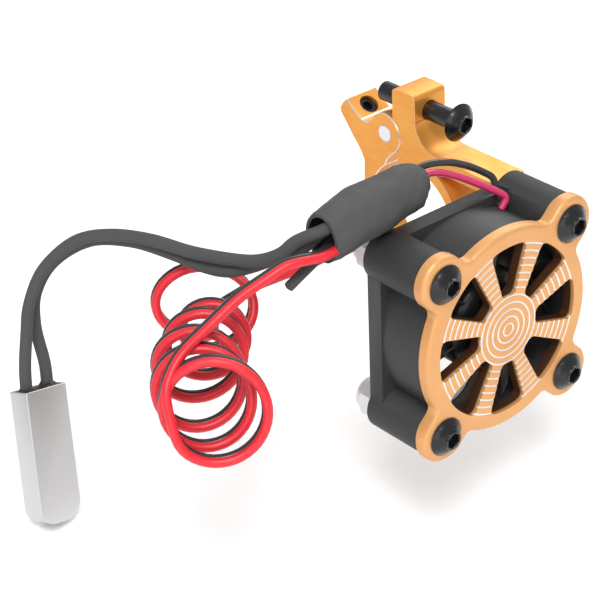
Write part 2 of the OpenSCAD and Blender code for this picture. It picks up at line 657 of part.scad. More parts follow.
// A flat box whose two bottom corners are round, from its bottom to a top height
module pocket(w, d, r, bottom, top) {
    rotate([90, 0, 0]) linear_extrude(d, center = true) polygon(concat(
        arc([w / 2 - r, bottom + r], r, 0, -90, 8), arc([r - w / 2, bottom + r], r, -90, -180, 8),
        [[-w / 2, top], [w / 2, top]]));
}
liner_w = switch_w - 2 * case_wall;
liner_d = switch_d - 2 * case_wall;
liner_bottom = -switch_len + case_wall;
module switch_case() {
    color(steel) in_switch() difference() {
        pocket(switch_w, switch_d, case_bottom_r, -switch_len, 0);
        pocket(liner_w, liner_d, case_bottom_r - case_wall, liner_bottom, 1);
    }
}
module switch_resin() {
    color(dark) in_switch() difference() {
        block(liner_w, liner_d, -resin_depth, -0.2);
        block(liner_w - 1, 2 * terminal_t + 1, -resin_depth - 1, -resin_depth + 1);
    }
}
module switch_liner() {
    color("tan") in_switch() difference() {
        pocket(liner_w, liner_d, case_bottom_r - case_wall, liner_bottom, -resin_depth);
        pocket(liner_w - 2 * liner_t, liner_d - 2 * liner_t, case_bottom_r - case_wall - liner_t,
            liner_bottom + liner_t, 0);
    }
}
inner_d = liner_d - 2 * liner_t;
module fixed_terminal() {
    color(brass) in_switch() {
        translate([0, -inner_d / 2 + terminal_t / 2, 0])
            block(terminal_w, terminal_t, liner_bottom + 1, -resin_depth);
        translate([0, -inner_d / 2 + terminal_t, liner_bottom + 3]) rotate([-90, 0, 0])
            cylinder(r = 1, h = 0.5);
    }
}
module arm_terminal() {
    color(brass) in_switch() translate([0, inner_d / 2 - terminal_t / 2, 0])
        block(terminal_w, terminal_t, -resin_depth - 4, -resin_depth);
}
bimetal_t = 0.2;
bimetal_top = -resin_depth - 1;
module bimetal_arm() {
    color("orange") in_switch() {
        translate([0, inner_d / 2 - terminal_t - bimetal_t / 2, 0])
            block(3.6, bimetal_t, liner_bottom + 2, bimetal_top);
        translate([0, inner_d / 2 - terminal_t - bimetal_t, liner_bottom + 3]) rotate([90, 0, 0])
            cylinder(r = 0.9, h = inner_d - 2 * terminal_t - bimetal_t - 0.5 - 0.02);
    }
}

fan_frame();
hub_label();
bearing_tube();
front_bearing();
rear_bearing();
stator_core();
stator_winding();
circuit_board();
impeller();
rotor_yoke();
magnet_ring();
shaft();
retaining_clip();
fan_guard();
guard_screw_tl();
guard_screw_tr();
guard_screw_bl();
guard_screw_br();
lock_nut_top();
lock_nut_bottom();
nut_insert_top();
nut_insert_bottom();
front_jaw();
rear_jaw();
hinge_pin();
clamp_screw();
set_screw();
fan_lead_red();
fan_lead_black();
splice_sleeve();
splice_joint_red();
splice_joint_black();
splice_tail();
sensor_lead_outer();
sensor_lead_inner();
power_lead_run();
power_lead_coil();
power_lead_end();
power_plug();
plug_contact_left();
plug_contact_right();
switch_case();
switch_resin();
switch_liner();
fixed_terminal();
arm_terminal();
bimetal_arm();
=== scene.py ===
"""Visual model of a clamp-on cooling fan with a thermal switch and its leads.

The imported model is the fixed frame. Sizes in the classes are millimetres. Every finished
mesh is in metres, with the origin at the centre of the clamp's bore, +X along the bore,
+Z up and the finger guard facing -Y.
"""

import logging
import math
from collections.abc import Callable, Sequence
from dataclasses import dataclass, field
from enum import Enum

import bmesh
import bpy
from mathutils import Matrix, Vector, noise


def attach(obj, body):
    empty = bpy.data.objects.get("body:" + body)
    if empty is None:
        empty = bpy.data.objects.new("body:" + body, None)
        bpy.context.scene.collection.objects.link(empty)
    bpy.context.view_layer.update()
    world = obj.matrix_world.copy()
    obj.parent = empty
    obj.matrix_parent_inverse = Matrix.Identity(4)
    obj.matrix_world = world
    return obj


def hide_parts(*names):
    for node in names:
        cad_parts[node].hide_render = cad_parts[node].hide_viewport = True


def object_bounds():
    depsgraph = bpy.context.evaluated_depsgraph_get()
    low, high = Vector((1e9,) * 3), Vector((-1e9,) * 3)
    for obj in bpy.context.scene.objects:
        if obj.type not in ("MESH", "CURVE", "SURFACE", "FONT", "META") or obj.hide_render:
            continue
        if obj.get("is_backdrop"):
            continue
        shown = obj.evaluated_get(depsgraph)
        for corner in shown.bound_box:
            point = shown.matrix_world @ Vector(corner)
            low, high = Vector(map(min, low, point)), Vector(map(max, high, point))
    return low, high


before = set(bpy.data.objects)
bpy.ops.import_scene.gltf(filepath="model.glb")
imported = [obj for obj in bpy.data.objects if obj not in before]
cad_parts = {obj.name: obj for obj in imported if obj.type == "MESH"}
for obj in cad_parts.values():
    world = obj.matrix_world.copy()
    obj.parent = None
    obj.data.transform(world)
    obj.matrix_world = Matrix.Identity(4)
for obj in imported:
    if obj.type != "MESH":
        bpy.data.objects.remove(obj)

log = logging.getLogger("clamp_fan")
MM = 0.001
Reach = float | Callable[[float], float]
Triple = tuple[float, float, float]
Colour = Triple
Route = Sequence[Triple]


# ---- Numbers that several pieces share ----
FAN_AT = Vector((-12.0, -17.0, -2.6))
FAN_PLACE = Matrix.Translation(FAN_AT) @ Matrix.Rotation(math.radians(90), 4, "X")
HOLE_HALF = 12.0


class Body(Enum):
    """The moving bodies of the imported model."""

    FRAME = "frame"
    ROTOR = "rotor"
    REAR_CLAMP = "rear_clamp"
    CLOSING_SCREW = "closing_screw"
    SWITCH_CONTACT = "switch_contact"


def srgb(red: int, green: int, blue: int) -> Colour:
    """Turns a colour of 0 to 255 per channel into linear values.

    Args:
        red: Red channel.
        green: Green channel.
        blue: Blue channel.

    Returns:
        The linear colour.
    """
    def linear(value: int) -> float:
        """One channel, from display value to linear light."""
        share = value / 255
        return share / 12.92 if share <= 0.04045 else ((share + 0.055) / 1.055) ** 2.4

    return linear(red), linear(green), linear(blue)


# ---- Node networks ----
class Network:
    """A node network, with the calls that finishes and Geometry Nodes share."""

    def __init__(self, tree: bpy.types.NodeTree) -> None:
        """Keeps the tree's nodes and links at hand."""
        self.nodes = tree.nodes
        self.links = tree.links

    def link(self, source: bpy.types.NodeSocket, target: bpy.types.NodeSocket) -> None:
        """Joins two sockets."""
        self.links.new(source, target)

    def feed(self, socket: bpy.types.NodeSocket, value: object) -> None:
        """Gives an input its value, or a link where the value is a socket."""
        if isinstance(value, bpy.types.NodeSocket):
            self.link(value, socket)
        else:
            socket.default_value = value

    def math(self, kind: str, *values: float | bpy.types.NodeSocket) -> bpy.types.NodeSocket:
        """Adds one Math node.

        Args:
            kind: The operation.
            values: Numbers or sockets for its inputs, in order.

        Returns:
            The result's socket.
        """
        node = self.nodes.new("ShaderNodeMath")
        node.operation = kind
        for socket, value in zip(node.inputs, values):
            self.feed(socket, value)
        return node.outputs[0]


# ---- Finishes ----
class Graph(Network):
    """A material's node tree, with short calls to add nodes."""

    def __init__(self, name: str) -> None:
        """Makes an empty material whose output is already linked to a shader.

        Args:
            name: Name of the material.
        """
        self.material = bpy.data.materials.new(name)
        self.material.use_nodes = True
        super().__init__(self.material.node_tree)
        self.nodes.clear()
        out = self.nodes.new("ShaderNodeOutputMaterial")
        self.shader = self.nodes.new("ShaderNodeBsdfPrincipled")
        self.link(self.shader.outputs["BSDF"], out.inputs["Surface"])
        self.place = self.nodes.new("ShaderNodeTexCoord").outputs["Object"]

    def stretched(self, scale: Triple) -> bpy.types.NodeSocket:
        """Object coordinates scaled along each axis.

        Args:
            scale: Factor along each axis.

        Returns:
            The vector's socket.
        """
        node = self.nodes.new("ShaderNodeMapping")
        node.inputs["Scale"].default_value = scale
        self.link(self.place, node.inputs["Vector"])
        return node.outputs[0]

    def noise(self, scale: float, detail: float = 3,
              at: bpy.types.NodeSocket | None = None) -> bpy.types.NodeSocket:
        """Adds a noise texture.

        Args:
            scale: Features per metre.
            detail: Octaves.
            at: Where to read it; object coordinates if left out.

        Returns:
            The factor's socket.
        """
        node = self.nodes.new("ShaderNodeTexNoise")
        node.inputs["Scale"].default_value = scale
        node.inputs["Detail"].default_value = detail
        node.inputs["Roughness"].default_value = 0.55
        self.link(at or self.place, node.inputs["Vector"])
        return node.outputs["Fac"]

    def cells(self, scale: float) -> bpy.types.NodeSocket:
        """Distance to the nearest cell point, for speckle and grain."""
        node = self.nodes.new("ShaderNodeTexVoronoi")
        node.inputs["Scale"].default_value = scale
        self.link(self.place, node.inputs["Vector"])
        return node.outputs["Distance"]

    def span(self, value: bpy.types.NodeSocket, low: float, high: float,
             start: float = 0.3, stop: float = 0.7) -> bpy.types.NodeSocket:
        """Maps a factor onto a range.

        Args:
            value: The factor.
            low: Result at start.
            high: Result at stop.
            start: Factor that gives low.
            stop: Factor that gives high.

        Returns:
            The mapped value's socket.
        """
        node = self.nodes.new("ShaderNodeMapRange")
        for name, number in zip(("From Min", "From Max", "To Min", "To Max"), (start, stop, low, high)):
            node.inputs[name].default_value = number
        self.link(value, node.inputs["Value"])
        return node.outputs["Result"]

    def blend(self, share: bpy.types.NodeSocket, first: Colour | bpy.types.NodeSocket,
              second: Colour | bpy.types.NodeSocket) -> bpy.types.NodeSocket:
        """Mixes two colours.

        Args:
            share: 0 for the first, 1 for the second.
            first: A colour or a socket.
            second: A colour or a socket.

        Returns:
            The mixed colour's socket.
        """
        node = self.nodes.new("ShaderNodeMix")
        node.data_type = "RGBA"
        self.link(share, node.inputs["Factor"])
        for socket, value in zip((node.inputs[6], node.inputs[7]), (first, second)):
            self.feed(socket, (*value, 1) if isinstance(value, tuple) else value)
        return node.outputs[2]

    def bump(self, height: bpy.types.NodeSocket, depth: float) -> None:
        """Adds a Bump node and links it to the shader.

        Args:
            height: The height's socket.
            depth: Depth in metres that a height of 1 stands for.
        """
        node = self.nodes.new("ShaderNodeBump")
        node.inputs["Distance"].default_value = depth
        node.inputs["Strength"].default_value = 1
        self.link(height, node.inputs["Height"])
        self.link(node.outputs[0], self.shader.inputs["Normal"])

    def set(self, **values: float | Colour) -> None:
        """Sets shader inputs that are the same all over; underscores stand for spaces."""
        for name, value in values.items():
            socket = self.shader.inputs[name.replace("_", " ")]
            socket.default_value = (*value, 1) if isinstance(value, tuple) else value

    def from_axis(self) -> list[bpy.types.NodeSocket]:
        """Distances in X and Z from the fan's axis, and the plain Y coordinate.

        Returns:
            The sockets for X, Z and Y, in metres.
        """
        split = self.nodes.new("ShaderNodeSeparateXYZ")
        self.link(self.place, split.inputs[0])
        return [self.math("SUBTRACT", split.outputs["X"], FAN_AT.x * MM),
                self.math("SUBTRACT", split.outputs["Z"], FAN_AT.z * MM), split.outputs["Y"]]

    def length(self, *sides: bpy.types.NodeSocket) -> bpy.types.NodeSocket:
        """Length of the diagonal over two sides."""
        return self.math("SQRT", self.math("ADD", *(self.math("POWER", side, 2) for side in sides)))

    def paint(self, colour: bpy.types.NodeSocket) -> None:
        """Links the base colour."""
        self.link(colour, self.shader.inputs["Base Color"])

    def gloss(self, value: bpy.types.NodeSocket) -> None:
        """Links the roughness."""
        self.link(value, self.shader.inputs["Roughness"])


@dataclass(frozen=True)
class Finish:
    """A surface whose colour drifts a little and whose gloss and grain vary."""

    name: str
    colour: Colour
    drift: Colour
    metallic: float = 0.0
    rough: tuple[float, float] = (0.4, 0.5)
    grain: float = 4000.0
    depth: float = 0.00002
    stretch: Triple = (1, 1, 1)
    patch: float = 90.0
    coat: float = 0.0
    sheen: float = 0.0
    specular: float = 0.5

    def extra(self, graph: Graph, colour: bpy.types.NodeSocket) -> bpy.types.NodeSocket:
        """Lets a finish add to the colour; the plain one adds nothing.

        Args:
            graph: The material's network.
            colour: The colour so far.

        Returns:
            The colour's socket.
        """
        return colour

    def build(self) -> bpy.types.Material:
        """Makes the material once and returns it every time."""
        if self.name not in bpy.data.materials:
            self.draw(Graph(self.name))
        return bpy.data.materials[self.name]

    def draw(self, graph: Graph) -> None:
        """Draws the finish.

        Args:
            graph: The empty material's network.
        """
        graph.set(Metallic=self.metallic, Coat_Weight=self.coat, Sheen_Weight=self.sheen,
                  Specular_IOR_Level=self.specular)
        broad = graph.noise(self.patch, 3)
        fine = graph.noise(self.grain, 3, graph.stretched(self.stretch))
        both = graph.math("MULTIPLY_ADD", fine, 0.45, graph.math("MULTIPLY", broad, 0.55))
        graph.paint(self.extra(graph, graph.blend(graph.span(both, 0, 1), self.colour, self.drift)))
        graph.gloss(graph.span(both, *self.rough))
        graph.bump(fine, self.depth)


@dataclass(frozen=True)
class MouldedPlastic(Finish):
    """Black moulded plastic with spark-eroded grain on the screw posts and smooth walls elsewhere."""

    post_reach: float = 3.95

    def draw(self, graph: Graph) -> None:
        """Draws the finish, with the grain kept to a radius round the four screw holes.

        Args:
            graph: The empty material's network.
        """
        graph.set(Specular_IOR_Level=self.specular)
        sides = [graph.math("SUBTRACT", graph.math("ABSOLUTE", side), HOLE_HALF * MM)
                 for side in graph.from_axis()[:2]]
        post = graph.span(graph.length(*sides), 1, 0.18, (self.post_reach - 0.15) * MM, self.post_reach * MM)
        pits = graph.math("ADD", graph.noise(self.grain, 4), graph.math("MULTIPLY", graph.cells(5200), 0.5))
        broad = graph.noise(self.patch, 3)
        graph.paint(graph.blend(graph.span(broad, 0, 1), self.colour, self.drift))
        graph.gloss(graph.math("ADD", graph.span(broad, *self.rough), graph.math("MULTIPLY", post, 0.12)))
        graph.bump(graph.math("MULTIPLY", pits, post), self.depth)


@dataclass(frozen=True)
class GroovedGold(Finish):
    """Anodised guard face with bare bright rings where the turning tool cut through the colour, and painted
    shade on the window walls and the back face.
    """

    bare: Colour = (0.78, 0.76, 0.76)
    # Colour of the painted shade on the window walls and the back face inside the rim.
    wall: Colour = (0.075, 0.028, 0.01)
    pitch: float = 1.07
    first: float = 0.92
    half_width: float = 0.1
    reach: float = 12.95
    rim: float = 13.3
    face_y: float = -29.0

    def draw(self, graph: Graph) -> None:
        """Draws the finish; the rings are read from the distance to the fan's axis.

        Args:
            graph: The empty material's network.
        """
        graph.set(Specular_IOR_Level=self.specular, Metallic=self.metallic)
        across, upward, forward = graph.from_axis()
        radius = graph.math("MULTIPLY", graph.length(across, upward), 1 / MM)
        turn = graph.math("DIVIDE", graph.math("SUBTRACT", radius, self.first), self.pitch)
        off = graph.math("MULTIPLY", graph.math("PINGPONG", turn, 0.5), self.pitch)
        wander = graph.span(graph.noise(700, 2), 0.75, 1.15)
        edge = graph.math("MULTIPLY", wander, self.half_width)
        outside = graph.math("MULTIPLY", graph.math("SUBTRACT", off, edge), 18)
        ring = graph.math("SUBTRACT", 1, graph.math("MINIMUM", graph.math("MAXIMUM", outside, 0), 1))
        inside = graph.span(radius, 1, 0, self.reach, self.reach + 0.05)
        height = graph.math("MULTIPLY", forward, 1 / MM)
        front = graph.span(height, 1, 0, self.face_y + 0.3, self.face_y + 0.36)
        ring = graph.math("MULTIPLY", graph.math("MULTIPLY", ring, inside), front)
        broad = graph.noise(self.patch, 3)
        fine = graph.noise(self.grain, 3)
        gold = graph.blend(graph.span(broad, 0, 1), self.colour, self.drift)
        # Painted shade: behind the front face and inside the rim, the gold is mixed towards the dark wall
        # colour.
        depth = graph.math("SUBTRACT", 1, graph.span(height, 1, 0, self.face_y + 0.42, self.face_y + 0.7))
        painted_shade_mask = graph.math("MULTIPLY", depth, graph.span(radius, 1, 0, self.rim, self.rim + 0.1))
        gold_with_painted_shade = graph.blend(painted_shade_mask, gold, self.wall)
        graph.paint(graph.blend(ring, gold_with_painted_shade, self.bare))
        graph.gloss(graph.math("SUBTRACT", graph.span(fine, *self.rough), graph.math("MULTIPLY", ring, 0.12)))
        graph.bump(fine, self.depth)


@dataclass(frozen=True)
class Stacked(Finish):
    """Laminated or wound metal: fine dark lines across one axis."""

    lines: float = 2500.0

    def extra(self, graph: Graph, colour: bpy.types.NodeSocket) -> bpy.types.NodeSocket:
        """Darkens thin lines between the layers; see Finish.extra."""
        wave = graph.nodes.new("ShaderNodeTexWave")
        wave.bands_direction = "Y"
        wave.inputs["Scale"].default_value = self.lines / 6.283
        wave.inputs["Distortion"].default_value = 0.6
        graph.link(graph.place, wave.inputs["Vector"])
        return graph.blend(graph.span(wave.outputs["Fac"], 0.75, 0), colour,
                           tuple(c * 0.25 for c in self.colour))


@dataclass(frozen=True)
class CircuitGreen(Finish):
    """Board lacquer over copper tracks."""

    track: Colour = (0.05, 0.16, 0.06)

    def extra(self, graph: Graph, colour: bpy.types.NodeSocket) -> bpy.types.NodeSocket:
        """Lightens a maze of tracks."""
        return graph.blend(graph.span(graph.cells(900), 1, 0, 0.35, 0.4), colour, self.track)


@dataclass(frozen=True)
class Palette:
    """Every finish of the object."""

    housing: Finish = MouldedPlastic("housing_black", srgb(42, 43, 44), srgb(50, 51, 52), rough=(0.42, 0.52),
                                     grain=3200, depth=0.00006, specular=0.4)
    rotor: Finish = Finish("rotor_black", srgb(30, 31, 33), srgb(40, 41, 44), rough=(0.3, 0.4), depth=0.00001)
    guard: Finish = GroovedGold("guard_gold", srgb(220, 163, 104), srgb(210, 152, 94), metallic=0.35,
                                rough=(0.4, 0.52), grain=6000, depth=0.000012)
    gold: Finish = Finish("bracket_gold", srgb(230, 162, 76), srgb(220, 144, 54), metallic=0.6,
                          rough=(0.36, 0.5), grain=2600, depth=0.000014, stretch=(1, 0.12, 1))
    chamfer: Finish = Finish("bare_chamfer", srgb(236, 236, 238), srgb(220, 220, 224), metallic=0.75,
                             rough=(0.22, 0.34), grain=5000, depth=0.000008)
    black_steel: Finish = Finish("screw_black", srgb(24, 25, 27), srgb(34, 35, 38), metallic=0.4,
                                 rough=(0.2, 0.34), grain=5200, depth=0.00002, coat=0.2)
    plated: Finish = Finish("plated_steel", srgb(176, 174, 174), srgb(146, 145, 148), metallic=0.9,
                            rough=(0.26, 0.4), grain=3000, depth=0.00001)
    bright: Finish = Finish("bright_steel", srgb(222, 222, 225), srgb(200, 200, 205), metallic=1.0,
                            rough=(0.16, 0.28), grain=6000, depth=0.000005)
    nylon: Finish = Finish("nylon_white", srgb(226, 226, 220), srgb(210, 210, 202), rough=(0.4, 0.5))
    sleeve: Finish = Finish("shrink_sleeve", srgb(54, 54, 55), srgb(66, 66, 67), rough=(0.6, 0.72),
                            grain=2600, depth=0.00005, patch=260, sheen=0.08, specular=0.3)
    lead_red: Finish = Finish("lead_crimson", srgb(198, 26, 84), srgb(182, 18, 72), rough=(0.36, 0.46),
                              grain=2500, depth=0.00001)
    lead_black: Finish = Finish("lead_black", srgb(34, 34, 36), srgb(44, 44, 46), rough=(0.38, 0.5),
                                grain=2500, depth=0.00001)
    sensor: Finish = Finish("sensor_lead", srgb(62, 62, 63), srgb(78, 78, 79), rough=(0.42, 0.55),
                            grain=2600, depth=0.00002, patch=200)
    power_red: Finish = Finish("power_red", srgb(222, 36, 50), srgb(204, 26, 40), rough=(0.34, 0.46),
                               grain=2400, depth=0.00001, patch=160)
    tinned: Finish = Finish("tinned_case", srgb(194, 191, 188), srgb(170, 168, 166), metallic=0.8,
                            rough=(0.3, 0.46), grain=1500, depth=0.00002, patch=220)
    potting: Finish = Finish("potting_black", srgb(30, 30, 32), srgb(40, 40, 42), rough=(0.28, 0.5),
                             grain=900, depth=0.00016, patch=300)
    copper: Finish = Stacked("copper_winding", srgb(184, 98, 50), srgb(164, 80, 38), metallic=0.85,
                             rough=(0.25, 0.35), lines=6000)
    laminated: Finish = Stacked("laminated_steel", srgb(150, 150, 155), srgb(132, 132, 138), metallic=0.9,
                                rough=(0.35, 0.45), lines=2600)
    brass: Finish = Finish("brass", srgb(214, 176, 96), srgb(200, 158, 80), metallic=0.95,
                           rough=(0.25, 0.35))
    board: Finish = CircuitGreen("circuit_board", srgb(18, 68, 34), srgb(22, 78, 40), rough=(0.3, 0.4))
    magnet: Finish = Finish("magnet_grey", srgb(58, 56, 56), srgb(68, 66, 66), rough=(0.6, 0.7),
                            grain=1800)
    label: Finish = Finish("plain_label", srgb(188, 188, 190), srgb(176, 176, 180), metallic=0.3,
                           rough=(0.4, 0.5), grain=1500)
    liner: Finish = Finish("liner_paper", srgb(196, 172, 128), srgb(180, 156, 112), rough=(0.7, 0.85))
    solder: Finish = Finish("solder", srgb(190, 190, 192), srgb(168, 168, 172), metallic=0.9,
                            rough=(0.3, 0.5), grain=1200, depth=0.0001)
    plug: Finish = Finish("plug_plastic", srgb(224, 222, 212), srgb(212, 209, 198), rough=(0.4, 0.5))
    bimetal: Finish = Stacked("bimetal", srgb(198, 176, 150), srgb(178, 150, 118), metallic=0.9,
                              rough=(0.28, 0.4), lines=3200)


PAINT = Palette()


# ---- Shapes ----
@dataclass
class Shape:
    """Points in millimetres and faces, each face with the number of its finish."""

    points: list[Vector] = field(default_factory=list)
    faces: list[tuple[int, ...]] = field(default_factory=list)
    marks: list[int] = field(default_factory=list)

    def add(self, other: "Shape", place: Matrix | None = None, mark: int | None = None) -> "Shape":
        """Joins another shape to this one.

        Args:
            other: The shape to add.
            place: Where to put it.
            mark: Finish number for all its faces.

        Returns:
            This shape.
        """
        start = len(self.points)
        self.points += [place @ p if place else p.copy() for p in other.points]
        self.faces += [tuple(i + start for i in face) for face in other.faces]
        self.marks += [mark] * len(other.faces) if mark is not None else other.marks
        return self

    def moved(self, place: Matrix) -> "Shape":
        """A copy in another place."""
        return Shape().add(self, place)


def lofted(rows: Sequence[Sequence[Vector]], ring: bool = False) -> Shape:
    """Skins rows of points that go round one after the other.

    Args:
        rows: The rows, each with the same count of points.
        ring: Whether the last row joins the first; if not, flat ends close the shape.

    Returns:
        The shape.
    """
    count = len(rows[0])
    shape = Shape([point for row in rows for point in row])
    for i in range(len(rows) if ring else len(rows) - 1):
        j = (i + 1) % len(rows)
        for k in range(count):
            m = (k + 1) % count
            shape.faces.append((i * count + k, i * count + m, j * count + m, j * count + k))
    if not ring:
        shape.faces.append(tuple(range(count - 1, -1, -1)))
        shape.faces.append(tuple(range((len(rows) - 1) * count, len(rows) * count)))
    shape.marks = [0] * len(shape.faces)
    return shape


def turned(rows: Sequence[tuple[Reach, float]], count: int = 48, ring: bool = False) -> Shape:
    """A solid about Z, from rows of points that follow its outline upwards.

    Args:
        rows: (radius, height) of each row; the radius may be a function of the angle.
        count: Points per row.
        ring: Whether the last row joins the first, as on a piece with a bore.

    Returns:
        The shape, closed by flat ends where it isn't a ring.
    """
    skin = []
    for reach, height in rows:
        row = []
        for k in range(count):
            angle = 2 * math.pi * k / count
            r = reach(angle) if callable(reach) else reach
            row.append(Vector((r * math.cos(angle), r * math.sin(angle), height)))
        skin.append(row)
    return lofted(skin, ring)


def slab(sheets: Sequence[Sequence[Sequence[Vector]]]) -> Shape:
    """A closed thin solid between two sheets that have the same grid of points.

    Args:
        sheets: Two sheets, each a list of rows of points.

    Returns:
        The shape.
    """
    shape = Shape([point for sheet in sheets for row in sheet for point in row])
    last, edge = len(sheets[0]) - 1, len(sheets[0][0]) - 1
    wide = edge + 1
    other = (last + 1) * wide
    for i in range(last):
        for j in range(edge):
            a, d = i * wide + j, (i + 1) * wide + j
            shape.faces += [(a, a + 1, d + 1, d), (other + a, other + d, other + d + 1, other + a + 1)]
    rim = list(range(wide)) + [i * wide + edge for i in range(1, last + 1)]
    rim += [last * wide + j for j in range(edge - 1, -1, -1)] + [i * wide for i in range(last - 1, 0, -1)]
    shape.faces += [(a, other + a, other + b, b) for a, b in zip(rim, rim[1:] + rim[:1])]
    shape.marks = [0] * len(shape.faces)
    return shape


def smooth_route(points: Route, per: int = 6) -> list[Vector]:
    """A smooth curve through the points of a route.

    Args:
        points: The route's points.
        per: Steps between two points.

    Returns:
        The curve's points.
    """
    p = [Vector(q) for q in points]
    curve = []
    for i in range(len(p) - 1):
        a, b, c, d = p[max(i - 1, 0)], p[i], p[i + 1], p[min(i + 2, len(p) - 1)]
        for k in range(per):
            t = k / per
            curve.append(0.5 * (2 * b + (c - a) * t + (2 * a - 5 * b + 4 * c - d) * t * t
                                + (3 * b - a - 3 * c + d) * t ** 3))
    return curve + [p[-1]]


def frames_along(path: Sequence[Vector]) -> list[tuple[Vector, Vector, Vector]]:
    """Heading and two sides at each point of a path, carried along without twist.

    Args:
        path: The path's points.

    Returns:
        For each point, the heading and two directions square to it.
    """
    side = None
    result = []
    for i in range(len(path)):
        heading = (path[min(i + 1, len(path) - 1)] - path[max(i - 1, 0)]).normalized()
        if side is None:
            side = heading.cross(Vector((0, 0, 1)) if abs(heading.z) < 0.9 else Vector((1, 0, 0)))
        side = (side - heading * side.dot(heading)).normalized()
        result.append((heading, side, heading.cross(side)))
    return result


def tube(path: Sequence[Vector], radius: Reach, sides: int = 16) -> Shape:
    """A closed round tube along a path with slightly rounded ends.

    Args:
        path: Points of its centre line.
        radius: Its radius, or a function of the share of the way along.
        sides: Points round it.

    Returns:
        The shape.
    """
    walls = frames_along(path)
    last = len(path) - 1
    stops = [(0, 0.75, -0.12)] + [(i, 1.0, 0.0) for i in range(last + 1)] + [(last, 0.75, 0.12)]
    rows = []
    for index, share, ahead in stops:
        heading, u, v = walls[index]
        r = (radius(index / last) if callable(radius) else radius) * share
        middle = path[index] + heading * ahead
        angles = (2 * math.pi * k / sides for k in range(sides))
        rows.append([middle + (u * math.cos(angle) + v * math.sin(angle)) * r for angle in angles])
    return lofted(rows)


def hexagon(across: float) -> Callable[[float], float]:
    """Radius of a regular hexagon as a function of the angle."""
    def reach(angle: float) -> float:
        """Distance from the centre to the nearest flat, along the angle."""
        third = math.pi / 3
        return across / 2 / math.cos((angle + third / 2) % third - third / 2)
    return reach


def mesh_of(shape: Shape, name: str) -> bpy.types.Mesh:
    """A mesh in metres from a shape, with its faces turned outwards.

    Args:
        shape: The shape, in millimetres.
        name: Name of the mesh.

    Returns:
        The mesh, with the shape's marks as its material numbers.
    """
    mesh = bpy.data.meshes.new(name)
    mesh.from_pydata([p * MM for p in shape.points], [], shape.faces)
    mesh.polygons.foreach_set("material_index", shape.marks)
    build = bmesh.new()
    build.from_mesh(mesh)
    bmesh.ops.recalc_face_normals(build, faces=build.faces)
    build.to_mesh(mesh)
    build.free()
    return mesh


def place_object(name: str, mesh: bpy.types.Mesh) -> bpy.types.Object:
    """Links a new object at the origin."""
    piece = bpy.data.objects.new(name, mesh)
    bpy.context.scene.collection.objects.link(piece)
    return piece


def solidified(piece: bpy.types.Object) -> bpy.types.Mesh:
    """Works a piece's modifiers into its mesh and takes them off.

    Args:
        piece: The object.

    Returns:
        Its new plain mesh.
    """
    bpy.context.view_layer.update()
    graph = bpy.context.evaluated_depsgraph_get()
    mesh = bpy.data.meshes.new_from_object(piece.evaluated_get(graph))
    piece.modifiers.clear()
    piece.data = mesh
    return mesh


def finish_piece(piece: bpy.types.Object, finishes: Sequence[Finish], body: Body,
                 nodes: Sequence[str], crease: float = 35) -> bpy.types.Object:
    """Dresses a piece and hands it to the frame.

    Args:
        piece: The object, its mesh in place.
        finishes: Its finishes, in the order of the face marks.
        body: The body that it rides on.
        nodes: CAD nodes that it stands for.
        crease: Edges sharper than this many degrees stay sharp.

    Returns:
        The piece.
    """
    marks = [0] * len(piece.data.polygons)
    piece.data.polygons.foreach_get("material_index", marks)
    piece.data.materials.clear()
    for finish in finishes:
        piece.data.materials.append(finish.build())
    piece.data.polygons.foreach_set("material_index", [min(m, len(finishes) - 1) for m in marks])
    piece.data.polygons.foreach_set("use_smooth", [True] * len(piece.data.polygons))
    piece.data.set_sharp_from_angle(angle=math.radians(crease))
    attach(piece, body.value)
    if nodes:
        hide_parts(*nodes)
    log.info("%s: %d faces, rides on %s", piece.name, len(piece.data.polygons), body.value)
    return piece


def make_piece(name: str, shape: Shape, finishes: Sequence[Finish], body: Body,
               nodes: Sequence[str] = (), crease: float = 35) -> bpy.types.Object:
    """Makes a finished piece straight from a shape; see finish_piece for the rest."""
    return finish_piece(place_object(name, mesh_of(shape, name)), finishes, body, nodes, crease)


def dress_node(node: str, finish: Finish) -> None:
    """Gives a CAD node that is shown as it is its finish."""
    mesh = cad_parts[node].data
    mesh.materials.clear()
    mesh.materials.append(finish.build())
    log.info("%s: kept, finish %s", node, finish.name)


def copy_node(node: str, name: str, flat: float = 1.0) -> bpy.types.Object:
    """A clean copy of a CAD node: merged, and with its flat faces whole again.

    Args:
        node: The CAD node.
        name: Name of the new piece.
        flat: Faces that meet at less than this many degrees become one.

    Returns:
        The new object.
    """
    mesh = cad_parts[node].data.copy()
    mesh.name = name
    build = bmesh.new()
    build.from_mesh(mesh)
    bmesh.ops.remove_doubles(build, verts=build.verts, dist=0.000002)
    bmesh.ops.dissolve_limit(build, angle_limit=math.radians(flat), verts=build.verts, edges=build.edges)
    build.to_mesh(mesh)
    build.free()
    return place_object(name, mesh)


